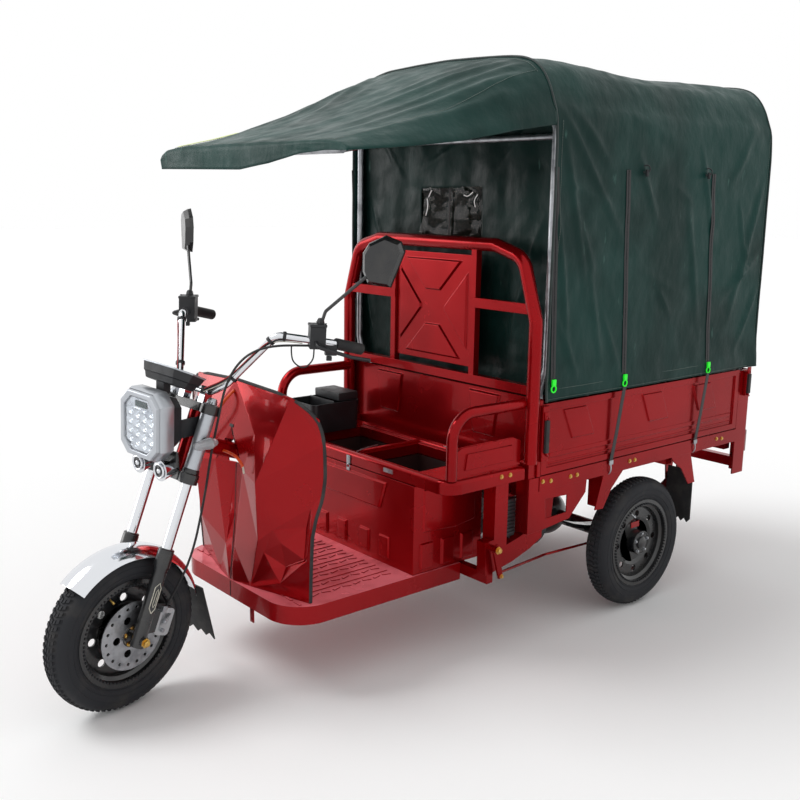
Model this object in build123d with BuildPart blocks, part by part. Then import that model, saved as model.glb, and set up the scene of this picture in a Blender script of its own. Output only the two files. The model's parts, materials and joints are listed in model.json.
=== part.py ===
from build123d import *
import os
from math import cos, radians, sin, tan

# A three-wheeled cargo trike with an open seat box, a load bed and a fabric cover.
# Lengths are millimetres. Every piece is drawn with x measured forward from the rear
# axle, y to the left and z up from the ground, and is moved when it is written so that
# the origin lies on the ground under the middle of the vehicle.
REAR_AXLE_X = -709.0

# Wheels
WHEELBASE = 1853.0
HALF_TRACK = 448.0
TYRE_RADIUS = 245.0
TYRE_WIDTH = 92.0
TYRE_WALL = 9.0
BEAD_RADIUS = 152.0
RIM_RADIUS = 166.0
RIM_WIDTH = 66.0
RIM_WALL = 4.0
RIM_WELL = 12.0
WINDOW_COUNT = 8
WINDOW_RADIUS = 12.0
WINDOW_CIRCLE = 108.0
REAR_HUB_RADIUS = 45.0
REAR_HUB_HALF = 38.0
DRUM_RADIUS = 92.0
DRUM_DEPTH = 46.0
DRUM_WALL = 8.0
HUB_CAP = 12.0
FRONT_HUB_RADIUS = 34.0
FRONT_HUB_HALF = 44.0
BRAKE_DISC_RADIUS = 105.0
BRAKE_DISC_WALL = 4.0
BRAKE_DISC_Y = 52.0
DISC_HOLE_COUNT = 18
RUNNING_CLEARANCE = 0.1
SEAT_GAP = 0.3

# Steering
RAKE = 21.0
AXIS_SETBACK = 35.0
STEER_AT_REST = 11.0
LEG_Y = 84.0
STANCHION_DIAMETER = 31.0
SHROUD_DIAMETER = 45.0
LOWER_LEG_DIAMETER = 42.0
COLLAR_RADIUS = 24.0
LOWER_LEG_TOP = 263.0
LOWER_LEG_BOTTOM = -22.0
LOWER_CLAMP = (470.0, 498.0)
UPPER_CLAMP = (680.0, 706.0)
STEM_RADIUS = 15.0
HEAD_TUBE_RADIUS = 27.0
FRONT_AXLE_RADIUS = 6.0
BAR_DIAMETER = 22.0
GRIP_DIAMETER = 34.0
FENDER_RADIUS = 262.0
FENDER_WALL = 2.5
FENDER_HALF_WIDTH = LEG_Y - COLLAR_RADIUS - SEAT_GAP - FENDER_WALL
FENDER_DROP = 26.0
FENDER_FRONT_ANGLE = 47.0
FENDER_REAR_ANGLE = 168.0
LAMP_HALF_WIDTH = 88.0
LAMP_Z = (760.0, 959.0)
LAMP_FACE_X = 1794.0
LAMP_BACK_X = 1690.0

# Frame and floor
RAIL_Y = 340.0
RAIL_WIDTH = 52.0
RAIL_Z = (505.0, 555.0)
FLOOR_TOP = 308.0
FLOOR_RIM = 250.0
FLOOR_HALF_WIDTH = 342.0
FLOOR_FRONT = 1480.0
FLOOR_REAR = 800.0
DOWN_TUBE_X = 1410.0
FLOOR_CORNER = 120.0
SHEET = 3.0
FLOOR_RAIL_Y = 290.0
FLOOR_RAIL = 35.0
DOWN_TUBE_DIAMETER = 50.0
NECK_Y = 446.0
NECK_WIDTH = 40.0
NECK_OUTER = NECK_Y + NECK_WIDTH / 2
NECK_OUTLINE = (
    (556, 554.7), (540, 440), (540, 378), (596, 349), (682, 322), (772, 305), (806, 300), (810, 412),
    (772, 416), (766, 386), (712, 386), (660, 398), (618, 410), (598.6, 414.6), (598.6, 554.7),
)
BRAKE_SHAFT = (790.0, 395.0)
BRAKE_SHAFT_DIAMETER = 22.0
POST_SIDE = 53.0
POST_X = (712.0, 771.0)
PILLAR_X = (599.0, 648.0)
PILLAR_Z = (415.0, 655.0)

# Seat
SEAT_BOX_X = (700.0, 1005.0)
SEAT_BOX_HALF_WIDTH = 335.0
DECK_FRONT = 1000.0
DECK_HALF_WIDTH = 488.0
DECK_Z = (605.0, 650.0)
DECK_CORNER = 60.0
BIN_X = (715.0, 965.0)
BIN_Y = (22.0, 315.0)
ARMREST_Y = 466.0
ARMREST_DIAMETER = 36.0
ARMREST_TOP = 855.0
ARMREST_FRONT = 970.0
BACKREST_DIAMETER = 45.0
BACKREST_FOOT = PILLAR_Z[1] + SEAT_GAP
BACKREST_TOP = 1355.0
BACKREST_HALF_WIDTH = 488.0
BACK_PANEL_HALF_WIDTH = 197.0
BACK_PANEL_Z = (935.0, 1316.0)

# Load bed
BED_REAR = -646.0
BED_FRONT = 600.0
BED_HALF_WIDTH = 500.0
SILL_Z = (555.0, 606.0)
SILL_WIDTH = 40.0
FLOOR_SHEET = 4.0
BOARD_TOP = 850.0
BOARD_DEPTH = 20.0
BOARD_FIELD = 7.0
BOARD_STEPS = (-362.0, -48.0, 382.0)
POST_FRONT = -570.0
POST_Z = (418.0, 846.0)
POST_DEPTH = 60.0
WALL_X = (598.0, 614.0)
WALL_Z = (606.0, 868.0)
BACKREST_X = WALL_X[1] + SEAT_GAP + BACKREST_DIAMETER / 2
DECK_X = (BACKREST_X + BACKREST_DIAMETER / 2 + SEAT_GAP, DECK_FRONT)
TAILGATE_HALF_WIDTH = 434.0
PLATE_WALL = 5.0
PLATE_Y = BED_HALF_WIDTH - 5.0
PLATE_INNER = PLATE_Y - PLATE_WALL / 2 - SEAT_GAP
MUDFLAP_X = -300.0
TAILGATE_DEPTH = 18.0
HINGE_X = -656.0
HINGE_Z = 608.0
HINGE_Y = 300.0
KNUCKLE_RADIUS = 9.0
HINGE_PIN_RADIUS = 5.0

# Cover
COVER_HALF_WIDTH = 512.0
COVER_X = (-642.0, 604.0)
COVER_WALL = 6.0
COVER_HEM = 860.0
EAVE_Z = 1760.0
HOOP_DIAMETER = 25.0
TIE_DIAMETER = 20.0
HOOP_X = (-610.0, 584.0)
AWNING_FRONT = 1410.0
BAR_X = AWNING_FRONT - 20.0
CURTAIN_WALL = 4.0
CLEAR_PANE = ((-155.0, 155.0), (1375.0, 1535.0))

# Running gear under the bed
SPRING_Y = 340.0
SPRING_WIDTH = 45.0
SPRING_HALF_LENGTH = 400.0
SPRING_END_Z = 400.0
LEAF_COUNT = 3
LEAF = 8.0
AXLE_TUBE_DIAMETER = 56.0
DIFFERENTIAL_RADIUS = 92.0
MOTOR_RADIUS = 78.0
MOTOR_LENGTH = 210.0
SPINDLE_RADIUS = 12.5

os.makedirs("parts", exist_ok=True)

WHEEL_CENTRE = (WHEELBASE, 0.0, TYRE_RADIUS)
LEG_DIRECTION = (-sin(radians(RAKE)), 0.0, cos(radians(RAKE)))
FORWARD_OF_LEG = (cos(radians(RAKE)), 0.0, sin(radians(RAKE)))
# Fork drawings: x forward of the leg line, y left, z up along the legs from the wheel axle.
FORK = Plane(origin=WHEEL_CENTRE, x_dir=FORWARD_OF_LEG, z_dir=LEG_DIRECTION)
STEERING_POINT = tuple(c - AXIS_SETBACK * f for c, f in zip(WHEEL_CENTRE, FORWARD_OF_LEG))
STEERING_AXIS = Axis(STEERING_POINT, LEG_DIRECTION)
SIDES = (1, -1)


def save(builder, name, steered=False, at=(0.0, 0.0, 0.0)):
    """Label a finished piece, put it in its place and write it."""
    part = builder.part.moved(Location(at))
    if steered:
        part = part.rotate(STEERING_AXIS, STEER_AT_REST)
    part = part.moved(Location((REAR_AXLE_X, 0, 0)))
    part.label = name
    export_step(part, f"parts/{name}.step")


def block(x, y, z, mode=Mode.ADD):
    """A box over three (low, high) spans."""
    spans = (x, y, z)
    with Locations([tuple((low + high) / 2 for low, high in spans)]):
        Box(*(high - low for low, high in spans), mode=mode)


def mirrored(points, side):
    """The same points on the left (1) or the right (-1) of the vehicle."""
    return [(x, side * y, z) for x, y, z in points]


def tube(points, bend, diameter, bore=0.0, mode=Mode.ADD):
    """A round tube swept through the points with bent corners."""
    with BuildLine() as route:
        if len(points) > 2:
            FilletPolyline(*points, radius=bend)
        else:
            Line(*points)
    path = route.wire()
    with BuildSketch(Plane(origin=path @ 0, z_dir=path % 0)) as ring:
        Circle(diameter / 2)
        if bore:
            Circle(bore / 2, mode=Mode.SUBTRACT)
    sweep(sections=ring.sketch, path=path, mode=mode)


def cable_radii(points):
    """The largest bend radius that each corner of a cable's route has room for."""
    radii = []
    for before, corner, after in zip(points, points[1:], points[2:]):
        first = Vector(*corner) - Vector(*before)
        second = Vector(*after) - Vector(*corner)
        turn = radians(first.get_angle(second))
        radii.append(0.45 * min(first.length, second.length) / tan(turn / 2))
    return radii


def plate(plane, outline, thickness, mode=Mode.ADD):
    """A flat plate: a polygon drawn on the plane, thickened to both sides of it."""
    with BuildSketch(plane) as shape:
        Polygon(*outline, align=None)
    extrude(to_extrude=shape.sketch, amount=thickness / 2, both=True, mode=mode)


def pressing(plane, outline, height, draft=30.0, mode=Mode.ADD):
    """A raised or sunk panel with sloping walls."""
    with BuildSketch(plane) as shape:
        Polygon(*outline, align=None)
    extrude(to_extrude=shape.sketch, amount=height, taper=draft, mode=mode)


def side_plane(y, side=1):
    """A drawing plane at distance y on one side, with x forward and z up."""
    return Plane(origin=(0, side * y, 0), x_dir=(1, 0, 0), z_dir=(0, -1, 0))


# Tyres and rims, drawn about the wheel centre with the axle along y
def tyre():
    bead = RIM_WIDTH / 2
    half = TYRE_WIDTH / 2
    inner = bead - TYRE_WALL
    with BuildPart() as carcass:
        with BuildSketch(Plane.YZ):
            with BuildLine():
                Line((inner, BEAD_RADIUS), (bead, BEAD_RADIUS))
                Line((bead, BEAD_RADIUS), (bead, RIM_RADIUS + 3))
                ThreePointArc((bead, RIM_RADIUS + 3), (half, 200), (half - 6, 229))
                ThreePointArc((half - 6, 229), (26, 242), (0, TYRE_RADIUS))
                Line((0, TYRE_RADIUS - 13), (half - 15, 221))
                ThreePointArc((half - 15, 221), (half - TYRE_WALL, 198), (inner, 168))
                Line((inner, 168), (inner, BEAD_RADIUS))
                mirror(about=Plane.YZ)
            make_face()
        revolve(axis=Axis.Y)
    return carcass


def rim(hub_radius, hub_half, bore, has_drum):
    """A steel disc wheel dished to the left; one with a drum has a blind bore, open to the right."""
    bead = RIM_WIDTH / 2
    seat = BEAD_RADIUS - SEAT_GAP
    well = seat - RIM_WELL
    with BuildPart() as wheel:
        with BuildSketch(Plane.YZ):
            with BuildLine():
                Polyline(
                    (0, well), (bead - 16, well), (bead - 10, seat), (bead + SEAT_GAP, seat),
                    (bead + SEAT_GAP, RIM_RADIUS), (bead + 5, RIM_RADIUS), (bead + 5, seat - RIM_WALL),
                    (bead - 8, seat - RIM_WALL), (bead - 14, well - RIM_WALL), (0, well - RIM_WALL),
                )
                mirror(about=Plane.YZ)
            make_face()
            with BuildLine():
                Polyline(
                    (4, hub_radius - 2), (4, 78), (12, 92), (12, 122), (6, well - 2), (0, well - 2),
                    (6, 118), (6, 95), (-2, 82), (-2, hub_radius - 2), close=True,
                )
            make_face()
            with Locations((0, hub_radius / 2)):
                Rectangle(2 * hub_half, hub_radius)
            if has_drum:
                with Locations((-DRUM_DEPTH / 2, DRUM_RADIUS - DRUM_WALL / 2)):
                    Rectangle(DRUM_DEPTH, DRUM_WALL)
        revolve(axis=Axis.Y)
        with BuildSketch(Plane.XZ):
            with PolarLocations(WINDOW_CIRCLE, WINDOW_COUNT):
                Circle(WINDOW_RADIUS)
        extrude(amount=TYRE_WIDTH, both=True, mode=Mode.SUBTRACT)
        cap = HUB_CAP if has_drum else -1
        with BuildSketch(Plane.XZ.offset(cap - hub_half)):
            Circle(bore)
        extrude(amount=2 * hub_half - cap + 1, mode=Mode.SUBTRACT)
    return wheel


front_tyre = tyre()
save(front_tyre, "front_tyre", steered=True, at=WHEEL_CENTRE)
front_rim = rim(FRONT_HUB_RADIUS, FRONT_HUB_HALF, FRONT_AXLE_RADIUS + RUNNING_CLEARANCE, False)
save(front_rim, "front_rim", steered=True, at=WHEEL_CENTRE)

with BuildPart() as brake_disc:
    with BuildSketch(Plane.XZ.offset(-BRAKE_DISC_Y)):
        Circle(BRAKE_DISC_RADIUS)
        Circle(FRONT_HUB_RADIUS - 8, mode=Mode.SUBTRACT)
        with PolarLocations(88, DISC_HOLE_COUNT):
            Circle(5, mode=Mode.SUBTRACT)
        with PolarLocations(54, 5):
            Circle(12, mode=Mode.SUBTRACT)
    extrude(amount=BRAKE_DISC_WALL / 2, both=True)
    with BuildSketch(Plane.XZ.offset(-BRAKE_DISC_Y + BRAKE_DISC_WALL / 2)):
        Circle(FRONT_HUB_RADIUS)
        Circle(FRONT_HUB_RADIUS - 8, mode=Mode.SUBTRACT)
    extrude(amount=BRAKE_DISC_Y - BRAKE_DISC_WALL / 2 - FRONT_HUB_HALF)
save(brake_disc, "brake_disc", steered=True, at=WHEEL_CENTRE)

rear_tyre = tyre()
rear_rim = rim(REAR_HUB_RADIUS, REAR_HUB_HALF, SPINDLE_RADIUS + RUNNING_CLEARANCE, True)
with BuildPart() as right_rim:
    mirror(rear_rim.part, about=Plane.XZ)
for name, side, wheel in (("left", 1, rear_rim), ("right", -1, right_rim)):
    centre = (0.0, side * HALF_TRACK, TYRE_RADIUS)
    save(rear_tyre, f"rear_tyre_{name}", at=centre)
    save(wheel, f"rear_rim_{name}", at=centre)

# Fork, with its stem in the head tube
with BuildPart(FORK) as fork_yokes:
    for low, high in (LOWER_CLAMP, UPPER_CLAMP):
        with BuildSketch(FORK.offset(low)):
            with Locations((-AXIS_SETBACK / 2, 0)):
                RectangleRounded(AXIS_SETBACK + 36, 2 * LEG_Y - 30, 16)
            with Locations((0, LEG_Y), (0, -LEG_Y)):
                Circle(COLLAR_RADIUS + 4)
        extrude(amount=high - low)
    with BuildSketch(FORK.offset(LOWER_CLAMP[1])):
        with Locations((-AXIS_SETBACK, 0)):
            Circle(STEM_RADIUS)
    extrude(amount=UPPER_CLAMP[0] - LOWER_CLAMP[1])
    with BuildSketch(FORK.offset(LOWER_CLAMP[1])):
        with Locations((0, LEG_Y), (0, -LEG_Y)):
            Circle(SHROUD_DIAMETER / 2)
    extrude(amount=UPPER_CLAMP[0] - LOWER_CLAMP[1])
    with BuildSketch(FORK.offset(UPPER_CLAMP[1])):
        with Locations((0, LEG_Y), (0, -LEG_Y)):
            Circle(17)
        with Locations((-AXIS_SETBACK, 0)):
            Circle(20)
    extrude(amount=15, taper=8)
save(fork_yokes, "fork_yokes", steered=True)

with BuildPart(FORK) as fork_tubes:
    for side in SIDES:
        with BuildSketch(FORK.offset(LOWER_LEG_TOP - 60)):
            with Locations((0, side * LEG_Y)):
                Circle(STANCHION_DIAMETER / 2)
        extrude(amount=LOWER_CLAMP[0] - LOWER_LEG_TOP + 60)
save(fork_tubes, "fork_tubes", steered=True)

with BuildPart(FORK) as fork_legs:
    for side in SIDES:
        with BuildSketch(FORK.offset(LOWER_LEG_BOTTOM)):
            with Locations((0, side * LEG_Y)):
                Circle(LOWER_LEG_DIAMETER / 2)
        extrude(amount=LOWER_LEG_TOP - LOWER_LEG_BOTTOM)
        with BuildSketch(FORK.offset(LOWER_LEG_TOP - 45)):
            with Locations((0, side * LEG_Y)):
                Circle(COLLAR_RADIUS)
        extrude(amount=45)
        with BuildSketch(FORK.offset(LOWER_LEG_TOP - 61)):
            with Locations((0, side * LEG_Y)):
                Circle(STANCHION_DIAMETER / 2 + SEAT_GAP)
        extrude(amount=61, mode=Mode.SUBTRACT)
    with Locations(Location((0, 0, 0), (90, 0, 0))):
        Cylinder(FRONT_AXLE_RADIUS, 2 * LEG_Y)
    with Locations(Location((0, LEG_Y + 26, 0), (90, 0, 0)), Location((0, -LEG_Y - 26, 0), (90, 0, 0))):
        Cylinder(13, 10)
    left = Plane(origin=WHEEL_CENTRE, x_dir=FORWARD_OF_LEG, z_dir=(0, -1, 0))
    with BuildSketch(left.offset(-BRAKE_DISC_Y - 19)) as carrier:
        Polygon((-10, 8), (-10, 96), (-58.7, 84), (-58.7, 20), align=None)
    extrude(to_extrude=carrier.sketch, amount=5, both=True)
save(fork_legs, "fork_legs", steered=True)

# Front mudguard, revolved part way round the wheel
with BuildPart() as front_fender:
    with BuildSketch(Plane.YZ):
        with BuildLine():
            ThreePointArc(
                (-FENDER_HALF_WIDTH, FENDER_RADIUS - FENDER_DROP), (0, FENDER_RADIUS), (FENDER_HALF_WIDTH, FENDER_RADIUS - FENDER_DROP)
            )
            ThreePointArc(
                (-FENDER_HALF_WIDTH - FENDER_WALL, FENDER_RADIUS - FENDER_DROP),
                (0, FENDER_RADIUS + FENDER_WALL),
                (FENDER_HALF_WIDTH + FENDER_WALL, FENDER_RADIUS - FENDER_DROP),
            )
            for side in SIDES:
                Line(
                    (side * FENDER_HALF_WIDTH, FENDER_RADIUS - FENDER_DROP),
                    (side * (FENDER_HALF_WIDTH + FENDER_WALL), FENDER_RADIUS - FENDER_DROP),
                )
        make_face()
    revolve(axis=Axis.Y, revolution_arc=FENDER_REAR_ANGLE - FENDER_FRONT_ANGLE)
fender_turn = Location((0, 0, 0), (0, 1, 0), 90 - FENDER_REAR_ANGLE)
with BuildPart() as front_fender_placed:
    add(front_fender.part.moved(fender_turn))
save(front_fender_placed, "front_fender", steered=True, at=WHEEL_CENTRE)

end = radians(FENDER_REAR_ANGLE)
flap_radius = FENDER_RADIUS + FENDER_WALL + SEAT_GAP
flap_top = (WHEELBASE + flap_radius * cos(end), 0, TYRE_RADIUS + flap_radius * sin(end))
with BuildPart() as front_mudflap:
    with BuildSketch(Plane(origin=flap_top, x_dir=(0, 1, 0), z_dir=(-cos(end), 0, -sin(end)))):
        teeth = [(70 - 20 * n, -172 + 16 * (n % 2)) for n in range(8)]
        Polygon((52, 12), *teeth, (-52, 12), align=None)
    extrude(amount=-5)
save(front_mudflap, "front_mudflap", steered=True)

# Handlebar and what is on it, drawn with the wheel straight ahead
GRIP_END = (1244.0, 341.0, 1077.0)
GRIP_INNER = (1338.0, 322.5, 1101.0)
GRIP_START = (1358.0, 318.5, 1106.0)
BAR_BEND = (1473.0, 214.0, 1122.0)
BAR_RISE = (1562.0, 108.0, 968.0)
BAR_CENTRE = (1584.0, 62.0, 938.0)
bar_half = [GRIP_END, GRIP_START, BAR_BEND, BAR_RISE, BAR_CENTRE]
with BuildPart() as handlebar:
    tube(bar_half + mirrored(bar_half[::-1], -1), 38, BAR_DIAMETER)
    for side in SIDES:
        with BuildSketch(FORK.offset(UPPER_CLAMP[1])) as riser:
            with Locations((-3, side * 45)):
                Rectangle(28, 24)
        extrude(to_extrude=riser.sketch, amount=50)
save(handlebar, "handlebar", steered=True)

with BuildPart() as grips:
    for side in SIDES:
        grip_line = mirrored([GRIP_END, GRIP_INNER], side)
        tube(grip_line, 0, GRIP_DIAMETER, BAR_DIAMETER + 2 * SEAT_GAP)
save(grips, "grips", steered=True)

with BuildPart() as brake_levers:
    for side in SIDES:
        with Locations(Location((1385, side * 292, 1121), (0, 0, side * -38))):
            Box(46, 52, 64)
        tube(mirrored([(1400, 300, 1112), (1418, 330, 1100), (1330, 385, 1070), (1262, 392, 1055)], side), 14, 11)
        tube(mirrored([GRIP_START, BAR_BEND], side), 0, BAR_DIAMETER + 2 * SEAT_GAP, mode=Mode.SUBTRACT)
save(brake_levers, "brake_levers", steered=True)

MIRROR_TOE = 30.0
MIRROR_OUTLINE = ((-60, 20), (-44, 49), (2, 74), (46, 60), (58, 34), (44, -8), (24, -68), (-42, -62), (-58, -30))
with BuildPart() as mirrors:
    for side in SIDES:
        tube(mirrored([(1376, 296, 1154.6), (1366, 303, 1196), (1290, 420, 1330)], side), 20, 10)
        toe = radians(MIRROR_TOE)
        face = Plane(
            origin=(1278, side * 436, 1349),
            x_dir=(-sin(toe), side * cos(toe), 0),
            z_dir=(-cos(toe), -side * sin(toe), 0),
        )
        with BuildSketch(face) as shell:
            Polygon(*[(out, -side * up) for out, up in MIRROR_OUTLINE], align=None)
        extrude(to_extrude=shell.sketch, amount=12, taper=-12)
        extrude(to_extrude=shell.sketch, amount=-14, taper=30)
save(mirrors, "mirrors", steered=True)


def octagon(half_width, low, high, cut):
    """Corners of an upright octagon as (y, z)."""
    return [
        (half_width, low + cut), (half_width, high - cut), (half_width - cut, high), (cut - half_width, high),
        (-half_width, high - cut), (-half_width, low + cut), (cut - half_width, low), (half_width - cut, low),
    ]


def across(x):
    """A drawing plane at x, with y to the left and z up."""
    return Plane(origin=(x, 0, 0), x_dir=(0, 1, 0), z_dir=(1, 0, 0))


with BuildPart() as headlamp_body:
    with BuildSketch(across(LAMP_BACK_X)):
        Polygon(*octagon(LAMP_HALF_WIDTH - 26, LAMP_Z[0] + 28, LAMP_Z[1] - 28, 24), align=None)
    with BuildSketch(across(LAMP_FACE_X - 26)):
        Polygon(*octagon(LAMP_HALF_WIDTH - 2, LAMP_Z[0] + 2, LAMP_Z[1] - 2, 32), align=None)
    loft(ruled=True)
    for side in SIDES:
        bracket_y = LEG_Y - SHROUD_DIAMETER / 2 - SEAT_GAP
        block((1612, 1760), sorted((side * bracket_y, side * (bracket_y - 4))), (815, 870))
save(headlamp_body, "headlamp_body", steered=True)

with BuildPart() as headlamp_bezel:
    with BuildSketch(across(LAMP_FACE_X - 26 + SEAT_GAP)) as outer_ring:
        Polygon(*octagon(LAMP_HALF_WIDTH, LAMP_Z[0], LAMP_Z[1], 34), align=None)
    extrude(to_extrude=outer_ring.sketch, amount=26 - SEAT_GAP, taper=12)
    with BuildSketch(across(LAMP_FACE_X - 14)) as opening:
        Polygon(*octagon(LAMP_HALF_WIDTH - 20, LAMP_Z[0] + 20, LAMP_Z[1] - 20, 30), align=None)
    extrude(to_extrude=opening.sketch, amount=20, mode=Mode.SUBTRACT)
save(headlamp_bezel, "headlamp_bezel", steered=True)

with BuildPart() as headlamp_lens:
    with BuildSketch(across(LAMP_FACE_X - 14 + SEAT_GAP)) as glass:
        Polygon(*octagon(LAMP_HALF_WIDTH - 20.3, LAMP_Z[0] + 20.3, LAMP_Z[1] - 20.3, 30), align=None)
    extrude(to_extrude=glass.sketch, amount=9)
save(headlamp_lens, "headlamp_lens", steered=True)

with BuildPart() as horns:
    for side in SIDES:
        with BuildSketch(Plane(origin=(1712, side * 50, 728), x_dir=(0, 1, 0), z_dir=(1, 0, 0))) as cup:
            Circle(20)
        extrude(to_extrude=cup.sketch, amount=44, taper=-14)
        block((1691.8, 1714), (side * 50 - 8, side * 50 + 8), (716, 728))
save(horns, "horns", steered=True)

with BuildPart() as dash_pod:
    with BuildSketch(Plane(origin=(1670, 0, 1004), x_dir=(0, 1, 0), z_dir=(-0.45, 0, 1))) as pod:
        Polygon(
            (0, -62), (-70, -58), (-108, -20), (-96, 40), (-60, 52), (60, 52), (96, 40), (108, -20), (70, -58),
            align=None,
        )
    extrude(to_extrude=pod.sketch, amount=26, taper=18)
    extrude(to_extrude=pod.sketch, amount=-44, taper=24)
    block((1694, 1720), (-18, 18), (941.3, 990))
save(dash_pod, "dash_pod", steered=True)

with BuildPart() as indicators:
    for side in SIDES:
        with BuildSketch(Plane(origin=(1640, side * 132, 808), x_dir=(0, 1, 0), z_dir=(1, 0, 0))) as bulb:
            Ellipse(17, 17)
        extrude(to_extrude=bulb.sketch, amount=52, taper=6)
        extrude(to_extrude=bulb.sketch, amount=-20, taper=20)
        block((1634, 1646), sorted((side * (LEG_Y + SHROUD_DIAMETER / 2 + SEAT_GAP), side * 122)), (802, 814))
save(indicators, "indicators", steered=True)

with BuildPart(FORK) as brake_caliper:
    block_y = BRAKE_DISC_Y
    with BuildSketch(Plane(origin=WHEEL_CENTRE, x_dir=FORWARD_OF_LEG, z_dir=(0, -1, 0)).offset(-block_y)) as body:
        with Locations((-86, 52)):
            RectangleRounded(54, 84, 12)
    extrude(to_extrude=body.sketch, amount=21, both=True)
    with BuildSketch(Plane(origin=WHEEL_CENTRE, x_dir=FORWARD_OF_LEG, z_dir=(0, -1, 0)).offset(-block_y)) as slot:
        Circle(BRAKE_DISC_RADIUS + 4)
    extrude(to_extrude=slot.sketch, amount=BRAKE_DISC_WALL / 2 + 3, both=True, mode=Mode.SUBTRACT)
save(brake_caliper, "brake_caliper", steered=True)

CABLE_DIAMETER = 7.0
CABLE_ROUTE = [
    (1738, 60, 304), (1718, 76, 352), (1696, 98, 420), (1672, 108, 500), (1650, 106, 582), (1628, 101, 660),
    (1614, 99, 738), (1604, 106, 815), (1594, 114, 885), (1583, 118, 948), (1569, 132, 1004),
    (1552, 160, 1052), (1526, 194, 1082), (1488, 225, 1094), (1445.2, 253.2, 1096), (1407.4, 282.8, 1096),
]
with BuildPart() as brake_cable:
    tube(CABLE_ROUTE, cable_radii(CABLE_ROUTE), CABLE_DIAMETER)
save(brake_cable, "brake_cable", steered=True)

# Main frame
HEAD_LOW = LOWER_CLAMP[1] + 1.0
HEAD_HIGH = UPPER_CLAMP[0] - 1.0
with BuildPart() as main_frame:
    for side in SIDES:
        rail = (side * RAIL_Y - RAIL_WIDTH / 2, side * RAIL_Y + RAIL_WIDTH / 2)
        block((BED_REAR + 40, BED_FRONT + 40), rail, RAIL_Z)
        low_rail = (side * FLOOR_RAIL_Y - FLOOR_RAIL / 2, side * FLOOR_RAIL_Y + FLOOR_RAIL / 2)
        under_floor = (FLOOR_TOP - SHEET - FLOOR_RAIL, FLOOR_TOP - SHEET)
        block((760, DOWN_TUBE_X), low_rail, under_floor)
        plate(side_plane(NECK_Y, side), NECK_OUTLINE, NECK_WIDTH)
        with BuildSketch(side_plane(NECK_Y, side)) as shaft_bore:
            with Locations(BRAKE_SHAFT):
                Circle(BRAKE_SHAFT_DIAMETER / 2 + SEAT_GAP)
        extrude(to_extrude=shaft_bore.sketch, amount=NECK_WIDTH, both=True, mode=Mode.SUBTRACT)
        foot = sorted((side * (FLOOR_RAIL_Y - 1), side * (NECK_Y + NECK_WIDTH / 2)))
        block((772, FLOOR_REAR - SEAT_GAP), foot, (under_floor[0], 306))
        block(POST_X, sorted((side * (NECK_OUTER - POST_SIDE), side * NECK_OUTER)), (384, DECK_Z[0] - SEAT_GAP))
        block((556, 596), sorted((side * RAIL_Y, side * NECK_Y)), (515, SILL_Z[0] - SEAT_GAP))
        for hanger_x in (-SPRING_HALF_LENGTH, SPRING_HALF_LENGTH):
            outline = [
                (hanger_x - 30, RAIL_Z[0]), (hanger_x + 30, RAIL_Z[0]),
                (hanger_x + 16, SPRING_END_Z - 16), (hanger_x - 16, SPRING_END_Z - 16),
            ]
            for y in (SPRING_Y - SPRING_WIDTH / 2 - 4, SPRING_Y + SPRING_WIDTH / 2 + 4):
                plate(side_plane(y, side), outline, 6)
    for cross_x in (-580, -180, 220):
        block((cross_x - 20, cross_x + 20), (-SILL_WIDTH - 420, SILL_WIDTH + 420), (515, 555))
    for cross_x in (DOWN_TUBE_X, 777):
        block((cross_x - 17, cross_x + 17), (-FLOOR_RAIL_Y, FLOOR_RAIL_Y), under_floor)
    tube([(1604, 0, 776), (DOWN_TUBE_X, 0, 710), (DOWN_TUBE_X, 0, 290)], 46, DOWN_TUBE_DIAMETER)
    with BuildSketch(FORK.offset(HEAD_LOW)) as head:
        with Locations((-AXIS_SETBACK, 0)):
            Circle(HEAD_TUBE_RADIUS)
    extrude(to_extrude=head.sketch, amount=HEAD_HIGH - HEAD_LOW)
    with BuildSketch(FORK.offset(HEAD_LOW - 1)) as head_bore:
        with Locations((-AXIS_SETBACK, 0)):
            Circle(STEM_RADIUS + RUNNING_CLEARANCE)
    extrude(to_extrude=head_bore.sketch, amount=HEAD_HIGH - HEAD_LOW + 2, mode=Mode.SUBTRACT)
save(main_frame, "main_frame")

# Foot well: a pressed floor with its rim turned down
with BuildPart() as floor_pan:
    with BuildSketch(Plane.XY.offset(FLOOR_RIM)) as floor_outline:
        with Locations(((FLOOR_FRONT + FLOOR_REAR) / 2, 0)):
            Rectangle(FLOOR_FRONT - FLOOR_REAR, 2 * FLOOR_HALF_WIDTH)
        fillet(floor_outline.vertices().group_by(Axis.X)[-1], FLOOR_CORNER)
    extrude(to_extrude=floor_outline.sketch, amount=FLOOR_TOP - FLOOR_RIM)
    with BuildSketch(Plane.XY.offset(FLOOR_RIM)) as floor_inside:
        offset(floor_outline.sketch, amount=-SHEET)
    extrude(to_extrude=floor_inside.sketch, amount=FLOOR_TOP - FLOOR_RIM - SHEET, mode=Mode.SUBTRACT)
    inner = FLOOR_HALF_WIDTH - SHEET
    block((FLOOR_REAR - 1, FLOOR_REAR + 5), (-inner, inner), (FLOOR_RIM - 1, FLOOR_TOP - SHEET), Mode.SUBTRACT)
    for rib_y in range(-240, 241, 60):
        block((1040, 1400), (rib_y - 8, rib_y + 8), (FLOOR_TOP - 1, FLOOR_TOP + 3))
    with BuildSketch(Plane.XY.offset(FLOOR_RIM)) as tube_hole:
        with Locations((DOWN_TUBE_X + 1, 0)):
            Circle(DOWN_TUBE_DIAMETER / 2 + 2)
    extrude(to_extrude=tube_hole.sketch, amount=FLOOR_TOP, mode=Mode.SUBTRACT)
save(floor_pan, "floor_pan")

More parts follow.
